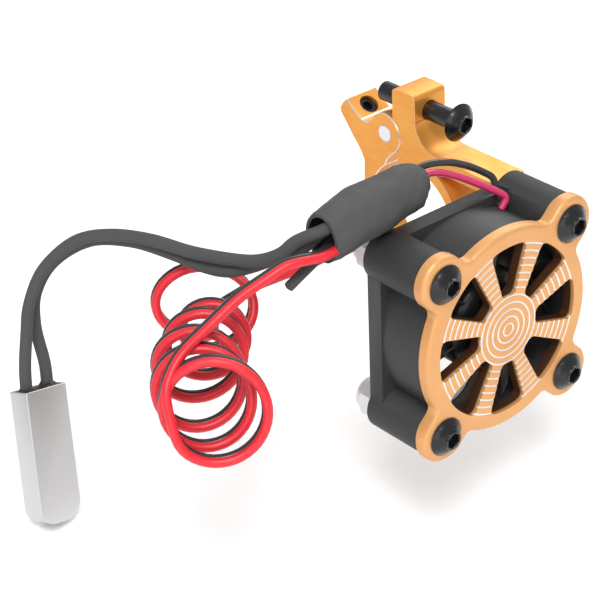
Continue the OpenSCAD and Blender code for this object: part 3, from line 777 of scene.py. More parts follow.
def soften(piece: bpy.types.Object, width: float, angle: float = 40, segments: int = 2,
           mark: int = -1, chosen: Callable[[Vector, Vector], bool] | None = None) -> None:
    """Bevels a piece's edges.

    Args:
        piece: The object.
        width: Bevel width in millimetres.
        angle: Only edges sharper than this are taken, where none are chosen.
        segments: Faces across the bevel.
        mark: Finish number of the bevel's faces.
        chosen: Says from its two end points, in millimetres, whether an edge is taken.
    """
    bevel = piece.modifiers.new("bevel", "BEVEL")
    bevel.width = width * MM
    bevel.segments = segments
    bevel.limit_method = "ANGLE"
    bevel.angle_limit = math.radians(angle)
    bevel.material = mark
    bevel.use_clamp_overlap = True
    if chosen:
        bevel.limit_method = "WEIGHT"
        mesh = piece.data
        build = bmesh.new()
        build.from_mesh(mesh)
        weights = build.edges.layers.float
        layer = weights.get("bevel_weight_edge") or weights.new("bevel_weight_edge")
        for edge in build.edges:
            a, b = (v.co / MM for v in edge.verts)
            sharp = len(edge.link_faces) == 2 and edge.calc_face_angle(0) > math.radians(angle)
            edge[layer] = 1.0 if sharp and chosen(a, b) else 0.0
        build.to_mesh(mesh)
        build.free()
    solidified(piece)


# ---- Geometry Nodes ----
class Tree(Network):
    """A Geometry Nodes tree with named inputs, built step by step."""

    def __init__(self, name: str, inputs: Sequence[tuple[str, str]]) -> None:
        """Starts a tree that takes and gives geometry.

        Args:
            name: Name of the tree.
            inputs: (name, socket type) of each further input.
        """
        self.group = bpy.data.node_groups.new(name, "GeometryNodeTree")
        super().__init__(self.group)
        face = self.group.interface
        face.new_socket("Geometry", in_out="OUTPUT", socket_type="NodeSocketGeometry")
        face.new_socket("Geometry", in_out="INPUT", socket_type="NodeSocketGeometry")
        for label, kind in inputs:
            face.new_socket(label, in_out="INPUT", socket_type=kind)
        self.given = self.nodes.new("NodeGroupInput")
        self.result = self.nodes.new("NodeGroupOutput")

    def add(self, kind: str, **inputs: object) -> bpy.types.Node:
        """Adds a node.

        Args:
            kind: The node's type.
            inputs: Values or sockets for its inputs by name, underscores for spaces.

        Returns:
            The node.
        """
        node = self.nodes.new(kind)
        for name, value in inputs.items():
            self.feed(node.inputs[name.replace("_", " ")], value)
        return node

    def close(self, shape: bpy.types.NodeSocket) -> None:
        """Ends the tree: real geometry with the finish set."""
        real = self.add("GeometryNodeRealizeInstances", Geometry=shape)
        dressed = self.add("GeometryNodeSetMaterial", Geometry=real.outputs[0])
        self.link(self.given.outputs["Finish"], dressed.inputs["Material"])
        self.link(dressed.outputs[0], self.result.inputs["Geometry"])

    def apply(self, piece: bpy.types.Object, **values: object) -> bpy.types.Mesh:
        """Runs the tree on a piece.

        Args:
            piece: The object that gives the tree its geometry.
            values: Input values by name, underscores for spaces.

        Returns:
            The piece's new plain mesh.
        """
        modifier = piece.modifiers.new(self.group.name, "NODES")
        modifier.node_group = self.group
        keys = {s.name: s.identifier for s in self.group.interface.items_tree if s.in_out == "INPUT"}
        for name, value in values.items():
            modifier[keys[name.replace("_", " ")]] = value
        return solidified(piece)


def round_copies() -> Tree:
    """A tree that turns copies of its geometry about Z, as blades stand round a hub.

    Returns:
        The tree.
    """
    tree = Tree("copies_round_axis", (("Copies", "NodeSocketInt"), ("Finish", "NodeSocketMaterial")))
    points = tree.add("GeometryNodePoints", Count=tree.given.outputs["Copies"])
    step = tree.math("DIVIDE", 2 * math.pi, tree.given.outputs["Copies"])
    index = tree.add("GeometryNodeInputIndex").outputs[0]
    turn = tree.add("ShaderNodeCombineXYZ", Z=tree.math("MULTIPLY", index, step))
    spread = tree.add("GeometryNodeInstanceOnPoints", Points=points.outputs[0],
                      Instance=tree.given.outputs["Geometry"])
    rotation = tree.add("FunctionNodeEulerToRotation", Euler=turn.outputs[0])
    tree.link(rotation.outputs[0], spread.inputs["Rotation"])
    tree.close(spread.outputs[0])
    return tree


def corner_copies() -> Tree:
    """A tree that copies its geometry to two or four corners of a square in the plane of Z = 0.

    Returns:
        The tree.
    """
    tree = Tree("copies_at_corners", (("Half", "NodeSocketFloat"), ("Columns", "NodeSocketInt"),
                                      ("Shift", "NodeSocketFloat"), ("Finish", "NodeSocketMaterial")))
    size = tree.math("MULTIPLY", tree.given.outputs["Half"], 2)
    wide = tree.math("MULTIPLY", size, tree.math("SUBTRACT", tree.given.outputs["Columns"], 1))
    grid = tree.add("GeometryNodeMeshGrid", Size_X=wide, Size_Y=size,
                    Vertices_X=tree.given.outputs["Columns"], Vertices_Y=2)
    shift = tree.add("ShaderNodeCombineXYZ", X=tree.given.outputs["Shift"])
    moved = tree.add("GeometryNodeSetPosition", Geometry=grid.outputs[0], Offset=shift.outputs[0])
    spread = tree.add("GeometryNodeInstanceOnPoints", Points=moved.outputs[0],
                      Instance=tree.given.outputs["Geometry"])
    tree.close(spread.outputs[0])
    return tree


def grooving() -> Tree:
    """A tree that sinks rings into a turned face, deeper the nearer a point is to a ring's middle.

    Returns:
        The tree.
    """
    tree = Tree("ring_grooves", (("Pitch", "NodeSocketFloat"), ("First", "NodeSocketFloat"),
                                 ("Half Width", "NodeSocketFloat"), ("Depth", "NodeSocketFloat"),
                                 ("Reach", "NodeSocketFloat"), ("Face", "NodeSocketFloat"),
                                 ("Finish", "NodeSocketMaterial")))
    given = tree.given.outputs
    split = tree.add("ShaderNodeSeparateXYZ", Vector=tree.add("GeometryNodeInputPosition").outputs[0])
    radius = tree.math("SQRT", tree.math("ADD", tree.math("POWER", split.outputs["X"], 2),
                                         tree.math("POWER", split.outputs["Y"], 2)))
    turn = tree.math("DIVIDE", tree.math("SUBTRACT", radius, given["First"]), given["Pitch"])
    off = tree.math("MULTIPLY", tree.math("PINGPONG", turn, 0.5), given["Pitch"])
    cut = tree.math("MAXIMUM", tree.math("SUBTRACT", 1, tree.math("DIVIDE", off, given["Half Width"])), 0)
    inside = tree.math("MULTIPLY", tree.math("LESS_THAN", radius, given["Reach"]),
                       tree.math("GREATER_THAN", split.outputs["Z"], given["Face"]))
    down = tree.math("MULTIPLY", given["Depth"], -1)
    drop = tree.math("MULTIPLY", tree.math("MULTIPLY", cut, inside), down)
    offset = tree.add("ShaderNodeCombineXYZ", Z=drop)
    sunk = tree.add("GeometryNodeSetPosition", Geometry=given["Geometry"], Offset=offset.outputs[0])
    tree.close(sunk.outputs[0])
    return tree


def threading() -> Tree:
    """A tree that winds a thread's ridge round a shank along Z.

    Returns:
        The tree.
    """
    tree = Tree("screw_thread", (("Turns", "NodeSocketFloat"), ("Radius", "NodeSocketFloat"),
                                 ("Length", "NodeSocketFloat"), ("Ridge", "NodeSocketFloat"),
                                 ("Finish", "NodeSocketMaterial")))
    given = tree.given.outputs
    spiral = tree.add("GeometryNodeCurveSpiral", Resolution=24, Rotations=given["Turns"],
                      Start_Radius=given["Radius"], End_Radius=given["Radius"], Height=given["Length"])
    profile = tree.add("GeometryNodeCurvePrimitiveCircle", Resolution=4, Radius=given["Ridge"])
    ridge = tree.add("GeometryNodeCurveToMesh", Curve=spiral.outputs[0], Profile_Curve=profile.outputs[0])
    ridge.inputs["Fill Caps"].default_value = True
    joined = tree.add("GeometryNodeJoinGeometry")
    tree.link(ridge.outputs[0], joined.inputs[0])
    tree.link(given["Geometry"], joined.inputs[0])
    tree.close(joined.outputs[0])
    return tree


def in_place(piece: bpy.types.Object, place: Matrix) -> None:
    """Moves a piece's mesh, given in millimetre places, and leaves its object at the origin."""
    scaled = place.copy()
    scaled.translation = place.translation * MM
    piece.data.transform(scaled)


# ---- Leads ----
@dataclass
class Leads:
    """The sensor leads, the power lead with its coil, and the short ends at the sleeve."""

    sensor_d: float = 1.8
    fan_d: float = 1.05
    core_d: float = 1.3
    outer: Route = ((-31, -17.6, 17.9), (-34.4, -17.2, 17), (-37.5, -15.2, 15.7), (-39.2, -13.9, 14),
                    (-40.8, -11.6, 12.7), (-42.3, -8.6, 12.1), (-44.6, -1.9, 11.5), (-46.6, 5, 11.5),
                    (-48.9, 11.5, 10.6), (-51.3, 16.7, 8.4), (-54, 21.2, 3.3), (-56, 22.9, -2.3),
                    (-57.4, 22.4, -6.7), (-58.6, 21.8, -11.1), (-59.3, 21.1, -14.6))
    inner: Route = ((-31, -15.4, 16.6), (-36.2, -14.5, 13.8), (-38.2, -12.3, 12.7), (-40.1, -9.9, 11.05),
                    (-42.6, -6.9, 9.9), (-43.8, -2.5, 9.4), (-45, 2.7, 9.7), (-46.2, 10.2, 9.1),
                    (-48.9, 16.6, 7.7), (-51.8, 21.9, 3.4), (-53.9, 24.2, -1.7), (-54.7, 24.2, -6.9),
                    (-54.9, 22.5, -12.4), (-55.5, 21.5, -15.5))
    run: Route = ((-31, -17.8, 14.3), (-36.2, -19, 14.7), (-39.2, -18.6, 15), (-41.6, -17.8, 14.9),
                  (-44.3, -17.1, 13.8), (-48.6, -16.3, 12.2), (-53.4, -16.1, 9.9), (-57.6, -16.2, 8.2),
                  (-60.6, -16.9, 6.1), (-62.3, -18.1, 3.8))
    end: Route = ((-39.2, 2.4, -3.4), (-37.6, 2.9, -2), (-36, 0.6, 0.2), (-34.4, -2, 2.5), (-31.3, -5.8, 4.9),
                  (-28, -8.5, 6.8), (-24.8, -10.1, 8.1), (-20.6, -11.2, 8), (-17.9, -12, 5.8),
                  (-17.2, -12.2, 3.3))
    tail: Route = ((-31, -15.2, 14), (-35, -16.4, 12.8), (-38.4, -16.9, 11.8), (-40.8, -17.2, 11))
    red: Route = ((-21, -17.5, 15.6), (-18, -17.1, 17), (-15.4, -16.5, 18), (-11.9, -16.6, 16.9),
                  (-8.3, -17.8, 14.9), (-5.4, -19.9, 13), (-4.4, -20.7, 11.9), (-5.4, -20.8, 10.6))
    black: Route = ((-21, -15.5, 17), (-17.9, -15.5, 18), (-14.9, -15.2, 18.6), (-11.4, -15.9, 18.2),
                    (-7.7, -16, 16.5), (-4.9, -16.5, 14.7), (-3.6, -17.4, 13.5), (-3.8, -18.1, 11.8))
    coil_yaw: float = 55.0
    coil_tilt: float = 15.0
    turn_steps: int = 44
    front_lag: float = 2.0
    growth_turn: float = 5.0
    growth_over: float = 0.8
    growth_ahead: float = 0.7
    side_by_side: Triple = (0.50, 0.84, -0.20)
    loops: Sequence[tuple[float, float, float, float, float]] = (
        (-57.6, -22.5, 1.9, 6.45, 6.45), (-56.7, -18.7, 1.9, 6.1, 6.1), (-54.8, -14.9, 2.1, 5.9, 5.9),
        (-51.0, -10.8, 2.7, 5.7, 5.1), (-47.6, -8.6, 2.3, 4.8, 4.45), (-44.2, -5.9, 2.7, 4.2, 3.7),
        (-41.4, 0.2, 1.9, 7.2, 5.2))

    def coil(self) -> list[Vector]:
        """Points of the coil's turns, from the run's end to where the lead leaves at the bottom.

        Each turn takes its place and size from the row of loops. Near the end it runs ahead through
        that row, so that the last turn reaches its full size.

        Returns:
            The points, in millimetres.
        """
        yaw, tilt = math.radians(self.coil_yaw), math.radians(self.coil_tilt)
        along = Vector((math.cos(yaw), math.sin(yaw), 0))
        across = Vector((math.sin(yaw), -math.cos(yaw), 0))
        upward = Vector((0, 0, 1)) * math.cos(tilt) + along * math.sin(tilt)
        turns, last = len(self.loops) - 0.75, len(self.loops) - 1
        result = []
        for k in range(int(turns * self.turn_steps) + 1):
            turn = k / self.turn_steps
            growth = min(max((turn - self.growth_turn) / self.growth_over, 0), 1)
            growth = self.growth_ahead * growth * growth * (3 - 2 * growth)
            at = min(max(turn - 0.5, 0) + growth, last)
            i = min(int(at), last - 1)
            x, y, z, wide, tall = (a + (b - a) * (at - i) for a, b in zip(self.loops[i], self.loops[i + 1]))
            lag = min(turn - 0.5, 0) * self.front_lag
            angle = math.pi + 2 * math.pi * turn
            result.append(Vector((x, y, z)) + along * lag + across * math.cos(angle) * wide
                          + upward * math.sin(angle) * tall)
        return result

    def power_path(self) -> list[Vector]:
        """The whole power lead: run, coil and end on one smooth line.

        Returns:
            The line's points, in millimetres.
        """
        per, joined = 5, 4
        coil = self.coil()
        start = smooth_route([*self.run, tuple(coil[joined])], per)[:-1]
        finish = smooth_route([tuple(coil[-2]), tuple(coil[-1]), *self.end], per)[per:]
        path = start + coil[joined:-1] + finish
        for _ in range(3):
            path = [path[0]] + [(path[i - 1] + path[i] * 2 + path[i + 1]) / 4
                                for i in range(1, len(path) - 1)] + [path[-1]]
        return path

    def build_power(self) -> bpy.types.Object:
        """The twin lead: a red core and a black core side by side, made as one piece.

        Returns:
            The lead.
        """
        path = self.power_path()
        toward = Vector(self.side_by_side)
        cores = []
        walls = frames_along(path)
        for side in (-1, 1):
            line = []
            for point, (heading, _, _) in zip(path, walls):
                away = (toward - heading * toward.dot(heading)).normalized()
                line.append(point + away * side * self.core_d * 0.49)
            cores.append(line)
        shape = Shape()
        shape.add(tube(cores[0], self.core_d / 2, 14), mark=0)
        shape.add(tube(cores[1], self.core_d / 2, 14), mark=1)
        piece = make_piece("power_lead", shape, (PAINT.power_red, PAINT.lead_black), Body.FRAME,
                           ("power_lead_run", "power_lead_coil", "power_lead_end"))
        return piece

    def build_sensor(self, name: str, route: Route, node: str) -> bpy.types.Object:
        """One sensor lead, from the sleeve into the switch.

        Args:
            name: Name of the piece.
            route: Its route.
            node: The CAD node that it stands for.

        Returns:
            The lead.
        """
        path = smooth_route(route, 7)
        piece = make_piece(name, tube(path, self.sensor_d / 2, 18), (PAINT.sensor,), Body.FRAME,
                           (node,))
        return piece

    def build(self) -> None:
        """Makes every lead."""
        self.build_power()
        self.build_sensor("sensor_lead_a", self.outer, "sensor_lead_outer")
        self.build_sensor("sensor_lead_b", self.inner, "sensor_lead_inner")
        make_piece("fan_lead_a", tube(smooth_route(self.red, 7), self.fan_d / 2, 16), (PAINT.lead_red,),
                   Body.FRAME, ("fan_lead_red",))
        make_piece("fan_lead_b", tube(smooth_route(self.black, 7), self.fan_d / 2, 16), (PAINT.lead_black,),
                   Body.FRAME, ("fan_lead_black",))
        self.build_tail()

    def build_tail(self) -> None:
        """The short cut end that sticks out of the sleeve beside the power lead."""
        path = smooth_route(self.tail, 6)
        shape = tube(path, self.sensor_d * 0.4, 16)
        make_piece("cut_tail", shape, (PAINT.sensor,), Body.FRAME, ("splice_tail",))


# ---- Sleeve ----
@dataclass
class Sleeve:
    """Heat-shrink sleeve over the splices: a lumpy open tube that closes round the fan leads."""

    wall: float = 0.5
    around: int = 72
    steps: int = 60
    lined: int = 52
    stations: Sequence[tuple[float, float, float, float, float]] = (
        (-34.6, -16.8, 15.6, 3.2, 3.55), (-33.1, -16.7, 15.9, 3.7, 3.85), (-31.0, -16.6, 16.1, 4.0, 3.9),
        (-28.2, -16.6, 16.6, 4.1, 4.05), (-25.6, -16.6, 16.85, 4.0, 4.0), (-23.0, -16.6, 17.05, 3.8, 3.85),
        (-20.2, -16.6, 17.2, 3.6, 3.7), (-18.4, -16.5, 17.2, 3.3, 3.5), (-17.2, -16.4, 17.3, 2.8, 2.9),
        (-16.3, -16.2, 17.5, 2.3, 2.1))

    def section(self, share: float) -> tuple[Vector, float, float]:
        """Where the sleeve is at a share of its length.

        Args:
            share: 0 at the mouth, 1 at the neck.

        Returns:
            The centre, half the width and half the height.
        """
        s = share * (len(self.stations) - 1)
        i = min(int(s), len(self.stations) - 2)
        t = s - i
        t = t * t * (3 - 2 * t) * 0.5 + t * 0.5
        a, b = self.stations[i], self.stations[i + 1]
        x, y, z, wide, tall = (p * (1 - t) + q * t for p, q in zip(a, b))
        return Vector((x, y, z)), wide, tall

    def point(self, share: float, angle: float, shrink: float) -> Vector:
        """A point of the sleeve's skin.

        Args:
            share: 0 at the mouth, 1 at the neck.
            angle: Angle round the sleeve.
            shrink: How far inside the outer skin it lies.

        Returns:
            The point.
        """
        centre, wide, tall = self.section(share)
        lump = noise.noise(Vector((share * 5, math.cos(angle) * 1.2, math.sin(angle) * 1.2))) * 0.34
        lump += noise.noise(Vector((share * 14, math.cos(angle) * 2.4 + 5, math.sin(angle) * 2.4))) * 0.14
        fade = min(1.0, share * 6 + 0.35)
        grow = 1 + (lump - 0.22) * fade / tall
        return centre + Vector((0, math.cos(angle) * (wide * grow - shrink),
                                math.sin(angle) * (tall * grow - shrink)))

    def build(self) -> None:
        """Makes the sleeve."""
        outer = [(i / self.steps, 0.0) for i in range(self.steps + 1)]
        inner = [(i / self.steps, self.wall) for i in range(self.lined, -1, -1)]
        rows = [[self.point(share, 2 * math.pi * k / self.around, shrink) for k in range(self.around)]
                for share, shrink in outer + inner]
        shape = lofted(rows, ring=True)
        make_piece("sleeve", shape, (PAINT.sleeve,), Body.FRAME, ("splice_sleeve",), 60)
        for node in ("splice_joint_red", "splice_joint_black"):
            dress_node(node, PAINT.solder)


# ---- Fan ----
@dataclass
class Fan:
    """Housing, rotor and motor."""

    edge: float = 0.22
    blades: int = 7
    hub_r: float = 7.6
    tip_r: float = 13.35
    rear: float = 2.6
    front: float = 8.85
    lean: float = 5.3
    sweep: float = 0.30
    blade_t: float = 0.75
    root: float = 0.35
    camber: float = 0.55
    hub_front: float = 9.0
    rotor_back: float = 2.4
    cup_r: float = 6.72
    cup_floor: float = 7.88
    shaft_r: float = 0.76

    def blade_point(self, side: int, u: float, v: float) -> Vector:
        """A point on one blade.

        Args:
            side: -1 or 1, for the blade's two faces.
            u: 0 at the root, 1 at the tip.
            v: 0 at the rear edge, 1 at the front edge.

        Returns:
            The point.
        """
        height = self.front - self.rear
        r = self.hub_r - self.root + (self.tip_r - self.hub_r + self.root) * u
        twist = self.lean * (0.86 + 0.28 * u)
        across = -(v - 0.5) * twist + math.sin(math.pi * v) * self.camber
        thick = self.blade_t * 0.5 * (0.35 + 0.65 * math.sin(math.pi * min(0.08 + v * 0.84, 1)))
        thick *= 1 - 0.25 * u
        tilt = math.atan2(twist, height)
        angle = across / r - self.sweep * u * u + side * thick * math.cos(tilt) / r
        z = self.rear + height * v + side * thick * math.sin(tilt) * 0.9
        return Vector((r * math.cos(angle), r * math.sin(angle), min(max(z, self.rear), self.front)))

    def blade(self) -> Shape:
        """One curved blade, its root in the hub."""
        spans, chords = 12, 14
        return slab([[[self.blade_point(side, i / spans, j / chords) for j in range(chords + 1)]
                      for i in range(spans + 1)] for side in (-1, 1)])

    def build_rotor(self) -> None:
        """Hub and blades as one moulding."""
        piece = place_object("rotor_blades", mesh_of(self.blade(), "rotor_blades"))
        round_copies().apply(piece, Copies=self.blades, Finish=PAINT.rotor.build())
        in_place(piece, FAN_PLACE)
        finish_piece(piece, (PAINT.rotor,), Body.ROTOR, ("impeller",), 40)
        r, top, back = self.hub_r, self.hub_front, self.rotor_back
        rows = [(self.shaft_r, self.cup_floor), (self.cup_r, self.cup_floor), (self.cup_r, back),
                (r - 0.15, back), (r, back + 0.15), (r, top - 0.9), (r - 0.12, top - 0.5),
                (r - 0.4, top - 0.15), (r - 0.8, top), (5.2, top), (5.0, top - 0.12),
                (0.6, top - 0.12), (0.6, top - 0.38), (self.shaft_r, top - 0.38)]
        hub = turned(rows, 72, ring=True).moved(FAN_PLACE)
        make_piece("rotor_hub", hub, (PAINT.rotor,), Body.ROTOR, (), 40)

    def build(self) -> None:
        """Makes the housing and rotor and dresses the motor."""
        housing = copy_node("fan_frame", "housing")
        soften(housing, self.edge, 50, 2)
        finish_piece(housing, (PAINT.housing,), Body.FRAME, ("fan_frame",), 35)
        self.build_rotor()
        for node, finish in (("hub_label", PAINT.label), ("bearing_tube", PAINT.brass),
                             ("front_bearing", PAINT.bright), ("rear_bearing", PAINT.bright),
                             ("stator_core", PAINT.laminated), ("stator_winding", PAINT.copper),
                             ("circuit_board", PAINT.board), ("rotor_yoke", PAINT.plated),
                             ("magnet_ring", PAINT.magnet), ("shaft", PAINT.bright),
                             ("retaining_clip", PAINT.nylon)):
            dress_node(node, finish)


# ---- Guard ----
@dataclass
class Guard:
    """Finger guard: a round plate with eight windows, four ears and turned rings."""

    back: float = 10.0
    thick: float = 2.0
    rim_r: float = 15.3
    inner_r: float = 13.0
    hub_r: float = 5.3
    ear_r: float = 4.0
    blend_r: float = 1.6
    spokes: int = 8
    spoke_in: float = 2.0
    spoke_out: float = 3.1
    corner: float = 0.9
    soft: float = 0.7
    hole_r: float = 1.65
    pitch: float = 1.07
    first: float = 0.92
    groove_half: float = 0.2
    groove_depth: float = 0.13
    groove_reach: float = 12.95
    fine_r: float = 13.25
    fine_step: float = 0.085

    def outline(self, angle: float) -> float:
        """The plate's edge: round, with four ears that flow into it.

        Args:
            angle: Angle about the axis.

        Returns:
            Distance from the axis to the edge.
        """
        quarter = math.pi / 2
        off = abs(angle % quarter - quarter / 2)
        ear_at = HOLE_HALF * math.sqrt(2)
        reach_rim, reach_ear = self.rim_r + self.blend_r, self.ear_r + self.blend_r
        along = (reach_rim ** 2 + ear_at ** 2 - reach_ear ** 2) / (2 * ear_at)
        across = math.sqrt(reach_rim ** 2 - along ** 2)
        to_rim = math.atan2(across, along)
        touch = Vector((ear_at, 0)) + (Vector((along, across)) - Vector((ear_at, 0))) * self.ear_r / reach_ear
        if off >= to_rim:
            return self.rim_r
        if off <= math.atan2(touch.y, touch.x):
            return ear_at * math.cos(off) + math.sqrt(max(self.ear_r ** 2 - (ear_at * math.sin(off)) ** 2, 0))
        middle = Vector((along, across))
        near = middle.x * math.cos(off) + middle.y * math.sin(off)
        gap = self.blend_r ** 2 - (middle.length_squared - near * near)
        return near - math.sqrt(max(gap, 0))

    def window(self) -> Shape:
        """A prism with round corners that cuts one window.

        Returns:
            The prism, a little taller than the plate.
        """
        half = math.pi / self.spokes
        ra, rb = self.hub_r + self.corner, self.inner_r - self.corner
        a_in = half - math.asin((self.spoke_in / 2 + self.corner) / ra)
        a_out = half - math.asin((self.spoke_out / 2 + self.corner) / rb)
        low = Vector((ra * math.cos(a_in), ra * math.sin(a_in)))
        high = Vector((rb * math.cos(a_out), rb * math.sin(a_out)))
        turn = math.atan2((high - low).y, (high - low).x) + math.pi / 2

        def arc(c: Vector, r: float, start: float, stop: float, n: int) -> list[Vector]:
            """Points on an arc."""
            return [c + Vector((math.cos(a), math.sin(a))) * r
                    for a in (start + (stop - start) * i / n for i in range(n + 1))]

        upper = arc(Vector((0, 0)), self.inner_r, 0, a_out, 10)[:-1]
        upper += arc(high, self.corner, a_out + 0.1, turn, 8)
        upper += arc(low, self.corner, turn, math.pi + a_in, 8)
        upper += arc(Vector((0, 0)), self.hub_r, a_in * 0.9, 0, 4)
        edge = upper + [Vector((p.x, -p.y)) for p in reversed(upper[1:-1])]
        return lofted([[Vector((p.x, p.y, z)) for p in edge]
                       for z in (self.back - 1, self.back + self.thick + 1)])

    def plate(self) -> Shape:
        """The plate before its windows are cut, with rows of points close together for the rings.

        Returns:
            The shape.
        """
        s, top = self.soft, self.back + self.thick
        low = 0.25

        def inset(amount: float) -> Callable[[float], float]:
            """The outline taken inwards."""
            return lambda angle: self.outline(angle) - amount

        rows: list[tuple[Reach, float]] = [(inset(low), self.back), (inset(0), self.back + low)]
        for k in range(7):
            a = math.pi / 2 * k / 6
            rows.append((inset(s * (1 - math.cos(a))), top - s + s * math.sin(a)))
        rows.append((lambda angle: 0.5 * (self.outline(angle) - s) + 0.5 * (self.fine_r + 0.05), top))
        rows.append((self.fine_r - 0.01, top))
        rows += [(self.fine_r - self.fine_step * i, top) for i in range(1, 152)]
        rows.append((0.15, top))
        return turned(rows, 288)

    def build(self) -> None:
        """Makes the guard: the plate, its rings and then its windows and holes."""
        piece = place_object("guard", mesh_of(self.plate(), "guard"))
        paint = PAINT.guard.build()
        grooving().apply(piece, Pitch=self.pitch * MM, First=self.first * MM,
                         Half_Width=self.groove_half * MM, Depth=self.groove_depth * MM,
                         Reach=self.groove_reach * MM, Face=(self.back + self.thick - 0.05) * MM,
                         Finish=paint)
        cutter = place_object("guard_cutter", mesh_of(self.window(), "guard_cutter"))
        round_copies().apply(cutter, Copies=self.spokes, Finish=paint)
        drill = place_object("guard_drill", mesh_of(turned(
            [(self.hole_r, self.back - 1), (self.hole_r, self.back + self.thick + 1)], 32), "guard_drill"))
        corner_copies().apply(drill, Half=HOLE_HALF * MM, Columns=2, Shift=0.0, Finish=paint)
        for tool in (cutter, drill):
            cut = piece.modifiers.new("cut", "BOOLEAN")
            cut.operation = "DIFFERENCE"
            cut.solver = "EXACT"
            cut.object = tool
        solidified(piece)
        for tool in (cutter, drill):
            bpy.data.objects.remove(tool)
        in_place(piece, FAN_PLACE)
        finish_piece(piece, (PAINT.guard,), Body.FRAME, ("fan_guard",), 30)


# ---- Screws and nuts ----
@dataclass
class Fastener:
    """Button-head screws and lock nuts."""

    head_d: float = 5.7
    head_h: float = 1.65
    socket: float = 2.0
    thread_d: float = 3.0
    nut_af: float = 5.5
    nut_h: float = 4.0
    pitch: float = 0.5
    ridge: float = 0.27
    thread_depth: float = 0.32

    def head(self) -> Shape:
        """A domed head on Z = 0 with a hexagon socket.

        Returns:
            The shape.
        """
        r, h = self.head_d / 2, self.head_h
        ball = (r * r + h * h) / (2 * h)
        rows: list[tuple[Reach, float]] = [(1.2, 0.02), (r - 0.3, 0.0), (r - 0.1, 0.04), (r, 0.14)]
        lip = self.socket / 2 * 1.3
        for k in range(1, 14):
            z = 0.14 + (h - 0.16) * (k / 13) ** 0.85
            flank = math.sqrt(max(ball ** 2 - (z - h + ball) ** 2, 0))
            if lip + 0.1 < flank < r:
                rows.append((flank, z))
        mouth = hexagon(self.socket)
        rows += [(lip, h - 0.03), (lambda a: mouth(a) + 0.06, h - 0.06), (mouth, h - 0.14),
                 (mouth, h - 1.05), (lambda a: mouth(a) * 0.2, h - 1.25)]
        return turned(rows, 72)

    def screw(self, length: float, threaded: float, name: str) -> bpy.types.Object:
        """A button-head screw as a plain mesh along -Z, with a thread wound on its end.

        Args:
            length: Length under the head.
            threaded: Length of the thread.
            name: Name of the piece.

        Returns:
            The piece, not yet placed.
        """
        tip = 0.35
        core, plain = self.thread_d / 2 - self.thread_depth, self.thread_d / 2 - 0.02
        shape = turned([(core - tip, -length), (core, -length + tip), (core, -threaded - 0.01),
                        (plain, -threaded), (plain, 0.05)], 40).add(self.head())
        piece = place_object(name, mesh_of(shape, name))
        reach = threaded - 0.7
        lowered = Matrix.Translation(Vector((0, 0, length - tip - 0.1)) * MM)
        piece.data.transform(lowered)
        threading().apply(piece, Turns=reach / self.pitch, Radius=(self.thread_d / 2 - self.ridge) * MM,
                          Length=reach * MM, Ridge=self.ridge * MM, Finish=PAINT.black_steel.build())
        piece.data.transform(lowered.inverted())
        return piece

    def guard_screws(self) -> None:
        """Four screws through the guard: the left pair into nuts, the right pair into the jaw's foot."""
        top = Matrix.Translation((0, 0, 12.0 * MM))
        for name, length, shift, nodes in (
                ("guard_screws_left", 16.0, -1, ("guard_screw_tl", "guard_screw_bl")),
                ("guard_screws_right", 14.0, 1, ("guard_screw_tr", "guard_screw_br"))):
            piece = self.screw(length, 4.5, name)
            piece.data.transform(top)
            corner_copies().apply(piece, Half=HOLE_HALF * MM, Columns=1, Shift=shift * HOLE_HALF * MM,
                                  Finish=PAINT.black_steel.build())
            in_place(piece, FAN_PLACE)
            finish_piece(piece, (PAINT.black_steel,), Body.FRAME, nodes, 32)

    def nut(self) -> Shape:
        """A lock nut from Z = -height to 0: hexagon with turned corners, and a collar at its far end.

        Returns:
            The shape.
        """
        flats = hexagon(self.nut_af)
        far = self.nut_af / 2 / math.cos(math.pi / 6)
        h = self.nut_h

        def cut(limit: float) -> Callable[[float], float]:
            """The hexagon with its corners turned off."""
            return lambda a: min(flats(a), limit)

        rows: list[tuple[Reach, float]] = [
            (1.52, -0.25), (1.75, 0.0), (cut(self.nut_af / 2 + 0.05), 0.0), (cut(far - 0.12), -0.2),
            (flats, -0.38), (flats, -h + 1.75), (cut(far - 0.1), -h + 1.55),
            (cut(self.nut_af / 2 + 0.02), -h + 1.32), (2.5, -h + 1.28), (2.5, -h + 0.6),
            (2.42, -h + 0.3), (2.25, -h + 0.08), (2.05, -h), (1.9, -h + 0.06), (1.85, -h + 0.3),
            (1.52, -h + 0.3)]
        return turned(rows, 72, ring=True)

    def nuts(self) -> None:
        """Two lock nuts behind the flange, with the nylon rings of the CAD model."""
        piece = place_object("lock_nuts", mesh_of(self.nut(), "lock_nuts"))
        corner_copies().apply(piece, Half=HOLE_HALF * MM, Columns=1, Shift=-HOLE_HALF * MM,
                              Finish=PAINT.plated.build())
        in_place(piece, FAN_PLACE)
        finish_piece(piece, (PAINT.plated,), Body.FRAME,
                     ("lock_nut_top", "lock_nut_bottom"), 28)
        for node in ("nut_insert_top", "nut_insert_bottom"):
            dress_node(node, PAINT.nylon)

    def build(self) -> None:
        """Makes every screw and nut."""
        self.guard_screws()
        self.nuts()
        length, past_tab = 16.0, 5.35
        tapped = Matrix.Translation((0, 3.8, 17.3)) @ Matrix.Rotation(math.radians(90), 4, "X")
        screw = self.screw(length, 15.4, "clamp_screw_shown")
        in_place(screw, tapped @ Matrix.Translation((0, 0, length - past_tab)))
        finish_piece(screw, (PAINT.black_steel,), Body.CLOSING_SCREW, ("clamp_screw",), 32)


